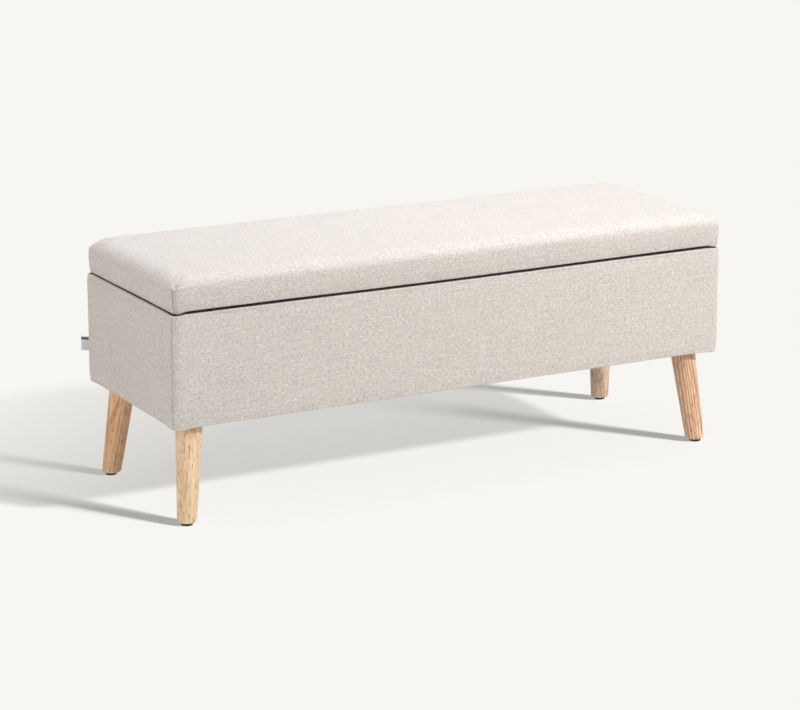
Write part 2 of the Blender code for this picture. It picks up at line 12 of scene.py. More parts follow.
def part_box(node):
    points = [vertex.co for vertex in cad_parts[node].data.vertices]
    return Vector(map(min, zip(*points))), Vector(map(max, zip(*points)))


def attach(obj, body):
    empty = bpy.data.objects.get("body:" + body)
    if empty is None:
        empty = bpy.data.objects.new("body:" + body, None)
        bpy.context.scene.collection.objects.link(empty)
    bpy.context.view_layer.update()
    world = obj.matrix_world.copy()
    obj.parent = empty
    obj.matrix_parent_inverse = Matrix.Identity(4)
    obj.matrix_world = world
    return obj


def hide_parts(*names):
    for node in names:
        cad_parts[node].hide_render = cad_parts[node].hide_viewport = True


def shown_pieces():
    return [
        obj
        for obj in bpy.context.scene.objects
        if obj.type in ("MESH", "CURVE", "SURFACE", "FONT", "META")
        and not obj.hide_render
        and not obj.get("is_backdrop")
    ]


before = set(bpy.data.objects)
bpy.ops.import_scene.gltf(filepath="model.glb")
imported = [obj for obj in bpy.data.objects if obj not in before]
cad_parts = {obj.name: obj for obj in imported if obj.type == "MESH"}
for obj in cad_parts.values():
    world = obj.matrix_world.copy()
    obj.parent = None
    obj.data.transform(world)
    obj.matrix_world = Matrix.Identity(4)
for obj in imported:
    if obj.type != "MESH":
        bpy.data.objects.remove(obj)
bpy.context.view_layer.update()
random.seed(7)

SIDES = {"left": -1, "right": 1}
CORNERS = {
    "front_left": (-1, -1),
    "front_right": (1, -1),
    "back_left": (-1, 1),
    "back_right": (1, 1),
}
CLOTH_UV = "cloth"
STRIP_WIDTH = 0.024

# Places that come from the CAD model
BOX_LOW, BOX_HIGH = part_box("box_cover")
LID_LOW, LID_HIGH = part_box("lid_cover")
HALF_X = BOX_HIGH.x
HALF_Y = BOX_HIGH.y
BOX_BOTTOM = BOX_LOW.z
BOX_TOP = BOX_HIGH.z
LID_BOTTOM = LID_LOW.z
LID_TOP = LID_HIGH.z
PANEL_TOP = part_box("front_panel")[1].z
PANEL_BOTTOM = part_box("front_panel")[0].z
PANEL_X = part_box("front_panel")[1].x
BOARD_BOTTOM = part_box("lid_board")[0].z
LINING_LOW, LINING_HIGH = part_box("interior_lining")
LID_LINING_LOW, LID_LINING_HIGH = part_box("lid_lining")
DUST_LOW, DUST_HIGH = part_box("dust_cover")


# Small helpers --------------------------------------------------------------------------------


def smooth(value, low, high):
    """0 below low, 1 above high, and an even S between them."""
    t = np.clip((value - low) / (high - low), 0.0, 1.0)
    return t * t * (3 - 2 * t)


def bump_at(value, centre, width):
    """A bell of height 1."""
    return np.exp(-((value - centre) / width) ** 2)


def graded(length, first, growth, largest):
    """Distances from 0 to length whose steps grow from first to largest."""
    places = [0.0]
    step = first
    while places[-1] + step < length:
        places.append(places[-1] + step)
        step = min(step * growth, largest)
    places = np.array(places + [places[-1] + step])
    return places * (length / places[-1])


def quarter_turn(steps, first=1):
    """Equal angles up to a right angle, from the first step on."""
    return [math.pi / 2 * step / steps for step in range(first, steps + 1)]


def turns(steps):
    """Equal angles round a circle."""
    return [2 * math.pi * step / steps for step in range(steps)]


def row_numbers(rows):
    """The point numbers of each row, when rows of equal count are put end to end."""
    count = len(rows[0])
    return [number * count + np.arange(count) for number in range(len(rows))]


def ring_faces(numbers, closed=False):
    """Quads between rows of point numbers. They face out where the rows go down an outside."""
    pairs = list(zip(numbers, numbers[1:]))
    if closed:
        pairs.append((numbers[-1], numbers[0]))
    faces = []
    for upper, lower in pairs:
        for k in range(len(upper)):
            n = (k + 1) % len(upper)
            faces.append([upper[k], lower[k], lower[n], upper[n]])
    return faces


def flat_uvs(points, faces):
    """Cloth coordinates straight from X and Y."""
    return [tuple(points[index][:2]) for face in faces for index in face]


def turned(faces, uvs):
    """The same faces seen from their other side, with their cloth coordinates."""
    other_uvs = []
    start = 0
    for face in faces:
        other_uvs += uvs[start:start + len(face)][::-1]
        start += len(face)
    return [face[::-1] for face in faces], other_uvs


def wander(points, size, seed, octaves=2):
    """Soft noise from -1 to 1 at each point; size is its wavelength in metres along each axis."""
    scale = Vector([1.0 / value for value in size])
    offset = Vector((13.7 * seed, 5.1 * seed, -7.3 * seed))
    values = np.empty(len(points))
    for index, point in enumerate(points):
        place = Vector((point[0] * scale.x, point[1] * scale.y, point[2] * scale.z)) + offset
        values[index] = noise.fractal(place, 0.8, 2.1, octaves)
    return values


def mesh_object(name, points, faces, uvs=None):
    """A smooth mesh object; uvs holds one (u, v) for each corner of each face."""
    mesh = bpy.data.meshes.new(name)
    mesh.from_pydata([tuple(point) for point in points], [], [tuple(face) for face in faces])
    if uvs is not None:
        layer = mesh.uv_layers.new(name=CLOTH_UV)
        layer.data.foreach_set("uv", np.asarray(uvs, np.float32).ravel())
    mesh.validate()
    mesh.shade_smooth()
    piece = bpy.data.objects.new(name, mesh)
    bpy.context.scene.collection.objects.link(piece)
    return piece


def vertex_normals(points, faces):
    """The normal at each point of a mesh of quads."""
    points = np.asarray(points)
    faces = np.asarray(faces)
    across = points[faces[:, 2]] - points[faces[:, 0]]
    along = points[faces[:, 3]] - points[faces[:, 1]]
    face_normals = np.cross(across, along)
    normals = np.zeros_like(points)
    for corner in range(4):
        np.add.at(normals, faces[:, corner], face_normals)
    lengths = np.linalg.norm(normals, axis=1)
    return normals / np.maximum(lengths, 1e-12)[:, None]


def finish_piece(piece, body, look, nodes=()):
    """Give a piece its material, its body and the CAD nodes it stands for."""
    piece.data.materials.clear()
    piece.data.materials.append(look)
    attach(piece, body)
    if nodes:
        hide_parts(*nodes)
    return piece


# Materials ------------------------------------------------------------------------------------


class Nodes:
    """A short way to write a node tree for one material."""

    def __init__(self, name, roughness, metallic=0.0, specular=0.5, sheen=0.0):
        self.material = bpy.data.materials.new(name)
        self.material.use_nodes = True
        self.tree = self.material.node_tree
        self.shader = self.tree.nodes["Principled BSDF"]
        self.shader.inputs["Roughness"].default_value = roughness
        self.shader.inputs["Metallic"].default_value = metallic
        self.shader.inputs["Specular IOR Level"].default_value = specular
        self.shader.inputs["Sheen Weight"].default_value = sheen
        self.shader.inputs["Sheen Roughness"].default_value = 0.5

    def put(self, kind, inputs=None, **settings):
        node = self.tree.nodes.new(kind)
        for key, value in settings.items():
            setattr(node, key, value)
        for key, value in (inputs or {}).items():
            self.feed(node.inputs[key], value)
        return node

    def feed(self, socket, value):
        if isinstance(value, bpy.types.NodeSocket):
            self.tree.links.new(value, socket)
        else:
            socket.default_value = value

    def math(self, operation, *values):
        node = self.put("ShaderNodeMath", operation=operation)
        for index, value in enumerate(values):
            self.feed(node.inputs[index], value)
        return node.outputs[0]

    def plus(self, *values):
        return self.math("ADD", *values)

    def minus(self, *values):
        return self.math("SUBTRACT", *values)

    def times(self, *values):
        return self.math("MULTIPLY", *values)

    def times_plus(self, *values):
        """The first value times the second, plus the third."""
        return self.math("MULTIPLY_ADD", *values)

    def cloth_place(self):
        return self.put("ShaderNodeUVMap", uv_map=CLOTH_UV).outputs[0]

    def object_place(self):
        return self.put("ShaderNodeTexCoord").outputs["Object"]

    def axes(self, place):
        """The X, Y and Z of a place."""
        return self.put("ShaderNodeSeparateXYZ", {"Vector": place}).outputs

    def scaled(self, place, scale, offset=(0, 0, 0)):
        """A place stretched by a scale on each axis and moved."""
        node = self.put("ShaderNodeMapping", {"Vector": place, "Scale": scale, "Location": offset})
        return node.outputs[0]

    def noise(self, place, scale, detail=2.0, roughness=0.5, offset=(0, 0, 0)):
        """Noise from 0 to 1, stretched if there is a scale for each axis."""
        if isinstance(scale, tuple):
            place = self.scaled(place, scale, offset)
            scale = 1.0
        inputs = {"Vector": place, "Scale": scale, "Detail": detail, "Roughness": roughness}
        return self.put("ShaderNodeTexNoise", inputs).outputs["Fac"]

    def ramp(self, value, stops, interpolation="LINEAR"):
        """A colour ramp: stops are (position, colour)."""
        node = self.put("ShaderNodeValToRGB", {"Fac": value})
        node.color_ramp.interpolation = interpolation
        elements = node.color_ramp.elements
        while len(elements) < len(stops):
            elements.new(0.5)
        for element, (position, colour) in zip(elements, stops):
            element.position = position
            element.color = (*colour, 1.0)
        return node.outputs["Color"]

    def spread(self, value, low, high, out_low, out_high):
        """Map a range of a value onto another range."""
        inputs = {"Value": value, "From Min": low, "From Max": high}
        inputs.update({"To Min": out_low, "To Max": out_high})
        return self.put("ShaderNodeMapRange", inputs).outputs[0]

    def tint(self, colour, value):
        """A colour made lighter or darker by a value about 1."""
        grey = self.put("ShaderNodeCombineColor", {"Red": value, "Green": value, "Blue": value})
        node = self.put("ShaderNodeMix", data_type="RGBA", blend_type="MULTIPLY")
        node.inputs["Factor"].default_value = 1.0
        self.feed(node.inputs[6], colour)
        self.feed(node.inputs[7], grey.outputs[0])
        return node.outputs[2]

    def blend(self, factor, first, second):
        node = self.put("ShaderNodeMix", data_type="RGBA")
        self.feed(node.inputs["Factor"], factor)
        self.feed(node.inputs[6], first)
        self.feed(node.inputs[7], second)
        return node.outputs[2]

    def finish(self, colour, height=None, depth=0.001, strength=1.0, roughness=None):
        self.feed(self.shader.inputs["Base Color"], colour)
        if roughness is not None:
            self.feed(self.shader.inputs["Roughness"], roughness)
        if height is not None:
            bump = self.put("ShaderNodeBump", {"Height": height, "Strength": strength, "Distance": depth})
            self.feed(self.shader.inputs["Normal"], bump.outputs[0])
        return self.material


def weave(nodes, place, pitch):
    """Height of a plain weave, 0 to 1, with threads of one pitch in metres."""
    wobble = nodes.noise(place, (90, 90, 1))
    shift = nodes.times(nodes.minus(wobble, 0.5), 1.1)
    split = nodes.axes(nodes.scaled(place, (math.pi / pitch,) * 3))
    across = nodes.math("SINE", nodes.plus(split[0], shift))
    along = nodes.math("SINE", nodes.minus(split[1], shift))
    over = nodes.times(nodes.times(across, along), 0.45)
    warp = nodes.times(nodes.math("ABSOLUTE", across), nodes.plus(0.55, over))
    weft = nodes.times(nodes.math("ABSOLUTE", along), nodes.minus(0.55, over))
    return nodes.math("MAXIMUM", warp, weft)


LINEN_PITCH = 0.0015
TAPE_PITCH = 0.0007
THREAD_PITCH = 0.00125


def linen_material(name, colour, strength=1.0):
    """Linen-look upholstery cloth: a plain weave of yarn with thick and thin places both ways."""
    nodes = Nodes(name, 0.92, specular=0.25, sheen=0.15)
    place = nodes.cloth_place()
    threads = weave(nodes, place, LINEN_PITCH)
    upright = nodes.noise(place, (600, 140, 1), 1.0, 0.6)
    level = nodes.noise(place, (145, 620, 1), 1.0, 0.6, offset=(3.1, 7.7, 0))
    slubs_up = nodes.noise(place, (380, 14, 1), 1.0, offset=(9, 2, 0))
    slubs_level = nodes.noise(place, (15, 400, 1), 1.0, offset=(4, 8, 0))
    grains = nodes.noise(place, (700, 700, 1), 1.0, offset=(1, 5, 0))
    patches = nodes.noise(place, (9, 9, 1))
    evened = [nodes.spread(yarn, 0.3, 0.7, -0.5, 0.5) for yarn in (upright, level, slubs_up, slubs_level)]
    dashes = nodes.plus(evened[0], evened[1])
    slubs = nodes.plus(evened[2], evened[3])
    flecks = nodes.spread(grains, 0.28, 0.60, 1.0, -0.3)
    light = nodes.times_plus(dashes, 0.30 * strength, 1.0)
    light = nodes.times_plus(slubs, 0.10 * strength, light)
    light = nodes.times_plus(flecks, -0.13 * strength, light)
    light = nodes.times_plus(nodes.minus(patches, 0.5), 0.05, light)
    # Darker in the low places between the threads: painted shade in the weave.
    light = nodes.times(light, nodes.spread(threads, 0.10, 0.75, 0.80, 1.10))
    height = nodes.times_plus(dashes, 0.6, nodes.times(threads, 0.9))
    height = nodes.times_plus(flecks, -0.3, height)
    warm = tuple(c * f for c, f in zip(colour, (1.03, 1.0, 0.96)))
    base = nodes.blend(upright, (*warm, 1.0), (*colour, 1.0))
    return nodes.finish(nodes.tint(base, light), height, 0.0006, 0.6 * strength)


def black_cloth_material():
    """Spun black polypropylene, the cloth of linings and dust covers, with its spot bonding."""
    nodes = Nodes("black_nonwoven", 0.85, specular=0.25, sheen=0.1)
    place = nodes.cloth_place()
    dots = {"Vector": nodes.scaled(place, (600, 600, 1)), "Scale": 1.0, "Randomness": 0.25}
    cells = nodes.put("ShaderNodeTexVoronoi", dots)
    spots = nodes.spread(cells.outputs["Distance"], 0.12, 0.3, 0.0, 1.0)
    fibres = nodes.noise(place, (900, 900, 1), 4.0, 0.7)
    cloudy = nodes.noise(place, (22, 22, 1), 3.0)
    light = nodes.times_plus(fibres, 0.6, nodes.times(cloudy, 0.8))
    colour = nodes.ramp(light, [(0.35, (0.012, 0.012, 0.013)), (1.0, (0.034, 0.034, 0.036))])
    height = nodes.times_plus(fibres, 0.5, spots)
    return nodes.finish(colour, height, 0.0003, 0.6)


def oak_material(name, rings, light_share, ring_strength, dark, pale):
    """Oiled oak: growth rings about a heart off to one side, open pores and a glued-up strip or two."""
    nodes = Nodes(name, 0.5, specular=0.4)
    split = nodes.axes(nodes.object_place())
    across = nodes.times_plus(split[0], 1 / STRIP_WIDTH, 0.35)
    strip = nodes.math("FLOOR", across)
    moved = nodes.put("ShaderNodeCombineXYZ", {"X": split[0], "Y": split[1]})
    nodes.feed(moved.inputs["Z"], nodes.times_plus(strip, 0.731, split[2]))
    place = moved.outputs[0]
    bend = nodes.noise(place, (30, 30, 4))
    heart_x = nodes.plus(split[0], 0.045)
    along_x = nodes.times(heart_x, heart_x)
    along_y = nodes.times(split[1], split[1])
    far = nodes.math("SQRT", nodes.plus(along_x, along_y))
    years = nodes.times_plus(far, rings, nodes.times(bend, 3.0))
    late = nodes.math("POWER", nodes.math("FRACT", years), 2.2)
    fibres = nodes.noise(place, (540, 540, 16), 3.0, 0.65)
    pores = nodes.noise(place, (430, 430, 75), 1.0, 0.5)
    pore_lines = nodes.spread(pores, 0.56, 0.68, 0.0, 1.0)
    clouds = nodes.noise(place, (40, 40, 9), offset=(5, 3, 1))
    tone = nodes.times_plus(late, -ring_strength, nodes.times_plus(fibres, 0.85, light_share))
    tone = nodes.times_plus(nodes.minus(clouds, 0.5), 0.5, tone)
    middle = tuple((a * 0.45 + b * 0.55) for a, b in zip(dark, pale))
    colour = nodes.ramp(tone, [(0.15, dark), (0.55, middle), (0.90, pale)])
    strip_place = nodes.put("ShaderNodeCombineXYZ", {"X": strip})
    strip_tone = nodes.noise(strip_place.outputs[0], (3.7, 1, 1), 0.0)
    off_middle = nodes.math("ABSOLUTE", nodes.minus(nodes.math("FRACT", across), 0.5))
    joint = nodes.spread(off_middle, 0.470, 0.490, 1.0, 0.72)
    light = nodes.times(nodes.spread(strip_tone, 0.3, 0.7, 0.92, 1.06), joint)
    light = nodes.times(light, nodes.spread(pore_lines, 0, 1, 1.0, 0.56))
    height = nodes.times_plus(fibres, 0.4, nodes.times(late, -0.4))
    height = nodes.minus(height, pore_lines)
    rough = nodes.spread(fibres, 0.2, 0.8, 0.42, 0.60)
    return nodes.finish(nodes.tint(colour, light), height, 0.0003, 0.4, rough)


def plastic_material():
    """Black moulded nylon with a fine spark-eroded grain."""
    nodes = Nodes("black_nylon", 0.45)
    place = nodes.object_place()
    grain = nodes.noise(place, 2600.0, 2.0)
    worn = nodes.noise(place, 160.0, 3.0)
    colour = nodes.ramp(worn, [(0.35, (0.012, 0.012, 0.012)), (0.75, (0.028, 0.027, 0.026))])
    return nodes.finish(colour, grain, 0.0001, 0.3, nodes.spread(worn, 0.3, 0.7, 0.38, 0.55))


def zinc_material():
    """Bright zinc plate on pressed steel: rolled lines, soft clouding and fine wear."""
    nodes = Nodes("zinc_plate", 0.35, metallic=1.0)
    place = nodes.object_place()
    rolled = nodes.noise(place, (60, 2600, 2600))
    clouds = nodes.noise(place, 130.0, 4.0, 0.6)
    colour = nodes.ramp(clouds, [(0.3, (0.46, 0.47, 0.48)), (0.7, (0.66, 0.66, 0.65))])
    rough = nodes.plus(nodes.spread(clouds, 0.3, 0.7, 0.24, 0.42), nodes.times(rolled, 0.08))
    return nodes.finish(colour, rolled, 0.0001, 0.25, rough)


def bolt_material():
    """Zinc-plated rod with a rolled thread, running along Z."""
    nodes = Nodes("zinc_thread", 0.32, metallic=1.0)
    place = nodes.object_place()
    split = nodes.axes(place)
    turns = nodes.math("SINE", nodes.times(split[2], 2 * math.pi / THREAD_PITCH))
    clouds = nodes.noise(place, 200.0, 3.0)
    colour = nodes.ramp(clouds, [(0.3, (0.44, 0.45, 0.46)), (0.7, (0.62, 0.62, 0.61))])
    return nodes.finish(colour, turns, 0.0004, 0.8, nodes.spread(clouds, 0.3, 0.7, 0.26, 0.42))


def black_steel_material():
    """Black powder coat with orange peel."""
    nodes = Nodes("black_powder_coat", 0.5)
    place = nodes.object_place()
    peel = nodes.noise(place, 900.0, 2.0)
    dust = nodes.noise(place, 70.0, 4.0, 0.6)
    colour = nodes.ramp(dust, [(0.35, (0.013, 0.013, 0.014)), (0.8, (0.034, 0.033, 0.032))])
    return nodes.finish(colour, peel, 0.0002, 0.35, nodes.spread(dust, 0.3, 0.7, 0.42, 0.62))


def board_material():
    """Particle board: pressed chips of mixed tone."""
    nodes = Nodes("particle_board", 0.85, specular=0.2)
    place = nodes.object_place()
    chips = nodes.put("ShaderNodeTexVoronoi", {"Vector": place, "Scale": 420.0})
    tone = nodes.put("ShaderNodeSeparateColor", {"Color": chips.outputs["Color"]}).outputs[0]
    fibres = nodes.noise(place, 1200.0, 3.0)
    mixed = nodes.times_plus(fibres, 0.4, nodes.times(tone, 0.6))
    stops = [(0.1, (0.30, 0.19, 0.10)), (0.5, (0.47, 0.33, 0.20)), (0.9, (0.62, 0.47, 0.31))]
    colour = nodes.ramp(mixed, stops)
    return nodes.finish(colour, mixed, 0.0003, 0.5)


def foam_material():
    """Open-cell polyurethane foam."""
    nodes = Nodes("foam", 0.95, specular=0.15)
    place = nodes.object_place()
    cells = nodes.put("ShaderNodeTexVoronoi", {"Vector": place, "Scale": 700.0}).outputs["Distance"]
    stain = nodes.noise(place, 12.0, 3.0)
    colour = nodes.ramp(stain, [(0.3, (0.74, 0.68, 0.48)), (0.8, (0.82, 0.77, 0.60))])
    # Darker in the cell hollows: painted shade in the pores.
    return nodes.finish(nodes.tint(colour, nodes.spread(cells, 0.0, 0.6, 0.8, 1.0)), cells, 0.0008, 0.8)


def tag_material():
    """White woven tape with a dark band along its upper edge."""
    nodes = Nodes("tag_tape", 0.8, specular=0.3)
    place = nodes.cloth_place()
    ribs = weave(nodes, place, TAPE_PITCH)
    split = nodes.axes(place)
    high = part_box("label_tag")[1]
    band = nodes.spread(split[1], high.z - 0.0066, high.z - 0.0058, 0.0, 1.0)
    edge = nodes.spread(split[1], high.z - 0.0022, high.z - 0.0014, 1.0, 0.0)
    band = nodes.times(band, edge)
    colour = nodes.blend(band, (0.62, 0.63, 0.64, 1.0), (0.075, 0.085, 0.11, 1.0))
    # Darker in the low places between the ribs: painted shade in the weave.
    return nodes.finish(nodes.tint(colour, nodes.spread(ribs, 0.1, 0.8, 0.82, 1.06)), ribs, 0.0002, 0.6)


LINEN_COLOUR = (0.600, 0.560, 0.527)
LINEN = linen_material("linen", LINEN_COLOUR)
# The stitching thread is a fifth darker than the cloth, so that the seams read as dark dotted lines:
# painted shade along the seams.
THREAD = linen_material("linen_thread", tuple(c * 0.8 for c in LINEN_COLOUR), 0.6)
TAG_CLOTH = tag_material()
BLACK_CLOTH = black_cloth_material()
OAKS = {
    "front_left": oak_material("oak_pale", 200.0, 0.32, 0.20, (0.52, 0.28, 0.135), (0.87, 0.65, 0.42)),
    "back_left": oak_material("oak_red", 230.0, 0.20, 0.36, (0.47, 0.215, 0.095), (0.89, 0.57, 0.335)),
    "front_right": oak_material("oak_ringed", 170.0, 0.38, 0.80, (0.44, 0.20, 0.10), (0.92, 0.63, 0.415)),
    "back_right": oak_material("oak_grey", 230.0, 0.24, 0.36, (0.40, 0.245, 0.155), (0.78, 0.58, 0.43)),
}
PLASTIC = plastic_material()
ZINC = zinc_material()
BOLT = bolt_material()
BLACK_STEEL = black_steel_material()
BOARD = board_material()
FOAM = foam_material()


# Lid cap --------------------------------------------------------------------------------------

CROWN_RUN = 0.037
CROWN_RISE = 0.0195
CORNER_FALL = 0.0015
BROAD_RUN = 0.085
BROAD_RISE = 0.0020
LID_EDGE = LID_TOP - CROWN_RISE - BROAD_RISE
CORNER_REACH = 0.042
CORNER_POWER = 4.8
LID_INSET_X = 0.0034
LID_INSET_Y = 0.0010
LID_SHIFT_X = 0.0014
SEAM_SETBACK = 0.0085
LID_SKIN = 0.0012
LID_WRAP = (HALF_X - LID_LINING_HIGH.x, HALF_Y - LID_LINING_HIGH.y)
EDGE_ROLL = 0.004
WALL_BULGE = 0.0007
WALL_LEAN = 0.0046
END_LEAN = 0.0016
LID_WALL_ROWS = 20
FOAM_ROWS = 16
FOAM_INSET = 0.0060


def lid_columns(half, with_seam=False):
    """Flat places of the grid lines over the lid from one edge to the other."""
    angles = np.radians(np.concatenate([np.linspace(0, 27, 15), np.linspace(27, 90, 14)[1:]]))
    crown = CROWN_RUN * (1 - np.cos(angles))
    inner = CROWN_RUN + graded(half - CROWN_RUN, 0.004, 1.12, 0.0085)[1:]
    insets = np.concatenate([crown, inner])
    if with_seam:
        steps = np.array([-0.0024, -0.0016, -0.0010, -0.0005, 0, 0.0005, 0.0010, 0.0016, 0.0024])
        near = np.abs(insets - SEAM_SETBACK) < 0.0029
        insets = np.sort(np.concatenate([insets[~near], SEAM_SETBACK + steps]))
    left = insets - half
    return np.concatenate([left, -left[-2::-1]])


def crown_height(inset_x, inset_y):
    """Height of the cap's top at distances in from its sides: a tight roll on a broad soft crown."""
    roll_x = np.clip(1 - inset_x / CROWN_RUN, 0, 1)
    roll_y = np.clip(1 - inset_y / CROWN_RUN, 0, 1)
    broad_x = np.clip(1 - inset_x / BROAD_RUN, 0, 1)
    broad_y = np.clip(1 - inset_y / BROAD_RUN, 0, 1)
    broad = np.clip(np.hypot(broad_x, broad_y), 0, 1.25)
    rolled = CROWN_RISE * (1 - np.sqrt((1 - roll_x ** 2) * (1 - roll_y ** 2)))
    return LID_TOP - rolled - CORNER_FALL * roll_x * roll_y - BROAD_RISE * broad ** 2.2


def surface_lengths(flat, half):
    """Length over the crown from the middle out to each flat place, signed."""
    fine = np.linspace(0, half, 4000)
    heights = crown_height(half - fine, np.full(4000, 1.0))
    steps = np.hypot(np.diff(fine), np.diff(heights))
    run = np.concatenate([[0], np.cumsum(steps)])
    return np.sign(flat) * np.interp(np.abs(flat), fine, run)


def round_corner(x, y):
    """Move flat places near a corner so that the outline turns in a tight soft curve."""
    reach = CORNER_REACH
    u = np.maximum(np.abs(x) - (HALF_X - reach), 0) / reach
    v = np.maximum(np.abs(y) - (HALF_Y - reach), 0) / reach
    longest = np.maximum(u, v)
    norm = (u ** CORNER_POWER + v ** CORNER_POWER) ** (1 / CORNER_POWER)
    scale = np.where(norm > 1e-9, longest / np.maximum(norm, 1e-9), 1.0)
    new_x = np.where(u > 0, np.sign(x) * (HALF_X - reach + reach * u * scale), x)
    new_y = np.where(v > 0, np.sign(y) * (HALF_Y - reach + reach * v * scale), y)
    return new_x * (1 - LID_INSET_X / HALF_X) + LID_SHIFT_X, new_y * (1 - LID_INSET_Y / HALF_Y)


def sag(x, y):
    """The shallow dip of the lid's and the box's facing edges halfway along the front and back."""
    return 0.0018 * bump_at(x, -0.03, 0.30) * smooth(np.abs(y), HALF_Y - 0.06, HALF_Y - 0.01)


def build_lid_skin():
    """Points, faces and cloth UVs of the lid's cap: top, sides, rolled edge and turned-under part."""
    flat_x = lid_columns(HALF_X)
    flat_y = lid_columns(HALF_Y, True)
    count_x = len(flat_x)
    count_y = len(flat_y)
    grid_x, grid_y = np.meshgrid(flat_x, flat_y, indexing="ij")
    top_x, top_y = round_corner(grid_x, grid_y)
    top_z = crown_height(HALF_X - np.abs(grid_x), HALF_Y - np.abs(grid_y))
    points = np.stack([top_x, top_y, top_z], -1).reshape(-1, 3)
    length_x = surface_lengths(flat_x, HALF_X)
    length_y = surface_lengths(flat_y, HALF_Y)

    def at(i, j):
        return i * count_y + j

    faces = []
    uvs = []
    for i in range(count_x - 1):
        for j in range(count_y - 1):
            ring = ((i, j), (i + 1, j), (i + 1, j + 1), (i, j + 1))
            faces.append([at(*place) for place in ring])
            uvs += [(length_x[a], length_y[b]) for a, b in ring]

    around = [(i, 0) for i in range(count_x - 1)]
    around += [(count_x - 1, j) for j in range(count_y - 1)]
    around += [(i, count_y - 1) for i in range(count_x - 1, 0, -1)]
    around += [(0, j) for j in range(count_y - 1, 0, -1)]
    edge = np.array([at(*place) for place in around])
    loop = points[edge]
    count = len(loop)

    tangent = np.roll(loop, -1, 0) - np.roll(loop, 1, 0)
    outward = np.stack([tangent[:, 1], -tangent[:, 0], np.zeros(count)], -1)
    outward /= np.linalg.norm(outward, axis=1)[:, None]
    corner_distance = corner_arc_distance(loop)
    at_corner = bump_at(corner_distance, 0, 0.012)
    on_end = smooth(-corner_distance, -0.004, 0.012)
    dip = 0.0006 + 0.0042 * at_corner + 0.0030 * on_end * (1 - at_corner) + sag(loop[:, 0], loop[:, 1])
    lean = (WALL_LEAN + (END_LEAN - WALL_LEAN) * on_end)[:, None]
    setback = np.abs(np.abs(flat_y) - (HALF_Y - SEAM_SETBACK))
    seam_y = flat_y[int(np.argmin(setback))]
    at_seam = next(k for k, place in enumerate(around) if place[0] == 0 and flat_y[place[1]] == seam_y)
    seam = corner_distance - corner_distance[at_seam]
    foot = LID_BOTTOM - dip

    rows = []
    wall_foot = foot + EDGE_ROLL
    for step in range(1, LID_WALL_ROWS + 1):
        t = step / LID_WALL_ROWS
        row = loop + outward * (WALL_BULGE * math.sin(math.pi * t) - lean * t ** 1.8)
        row[:, 2] = loop[:, 2] * (1 - t) + wall_foot * t
        rows.append(row)
    for angle in quarter_turn(6):
        row = loop - outward * (lean + EDGE_ROLL * (1 - math.cos(angle)))
        row[:, 2] = wall_foot - EDGE_ROLL * math.sin(angle)
        rows.append(row)
    rolled = rows[-1]
    rim_x = loop[:, 0] * (1 - LID_WRAP[0] / HALF_X)
    rim_y = loop[:, 1] * (1 - LID_WRAP[1] / HALF_Y)
    rim = np.stack([rim_x, rim_y, foot], -1)
    for t in (0.06, 0.14, 0.25, 0.38, 0.52, 0.66, 0.78, 0.88, 0.95, 1.0):
        row = rolled * (1 - t) + rim * t
        height = LID_BOTTOM - dip * (1 - smooth(np.array(t), 0.0, 0.45))
        row[:, 2] = height + 0.0018 * smooth(np.array(t), 0.80, 0.97)
        rows.append(row)

    sides = ["front"] * (count_x - 1) + ["right"] * (count_y - 1)
    sides += ["back"] * (count_x - 1) + ["left"] * (count_y - 1)
    base = len(points)
    indices = [edge]
    for number, row in enumerate(rows):
        indices.append(base + number * count + np.arange(count))
    points = np.concatenate([points] + rows)
    depth = 0.0
    previous = loop
    for number, row in enumerate(rows):
        following = depth + float(np.median(np.linalg.norm(row - previous, axis=1)))
        upper = indices[number]
        lower = indices[number + 1]
        for k in range(count):
            n = (k + 1) % count
            faces.append([upper[k], lower[k], lower[n], upper[n]])
            uvs += wall_uv(sides[k], around[k], around[n], depth, following, length_x, length_y)
        depth = following
        previous = row
    layout = {
        "loop": loop,
        "outward": outward,
        "seam": seam,
        "seam_shift": -corner_distance[at_seam],
        "flat": (grid_x.ravel(), grid_y.ravel()),
        "wall": (len(loop), base),
        "rows": len(rows),
    }
    return points, np.array(faces), uvs, layout


def wall_uv(side, here, there, near, far, length_x, length_y):
    """Cloth coordinates on the sides, which carry on from the top's."""
    sign = 1 if side in ("back", "right") else -1
    is_long = side in ("front", "back")
    along = [length_x[place[0]] if is_long else length_y[place[1]] for place in (here, there)]
    edge = (length_y if is_long else length_x)[-1 if sign > 0 else 0]
    ends = ((0, near), (0, far), (1, far), (1, near))
    corners = [(along[end], edge + sign * down) for end, down in ends]
    return corners if is_long else [corner[::-1] for corner in corners]


def corner_arc_distance(loop):
    """Signed distance along an outline from the nearest corner's middle: plus on the long sides."""
    steps = np.linalg.norm(np.roll(loop, -1, 0) - loop, axis=1)
    places = np.concatenate([[0], np.cumsum(steps)[:-1]])
    total = float(steps.sum())
    best = np.full(len(loop), 9.0)
    for sx, sy in CORNERS.values():
        along = loop[:, 0] * sx * HALF_Y / HALF_X + loop[:, 1] * sy
        diagonal = np.abs(np.abs(loop[:, 0]) - HALF_X - (np.abs(loop[:, 1]) - HALF_Y))
        seam = int(np.argmin(diagonal - 10 * along))
        gap = np.abs(places - places[seam])
        gap = np.minimum(gap, total - gap)
        on_long = (HALF_Y - np.abs(loop[:, 1])) < (HALF_X - np.abs(loop[:, 0]))
        signed = np.where(on_long, gap, -gap)
        best = np.where(np.abs(signed) < np.abs(best), signed, best)
    return best


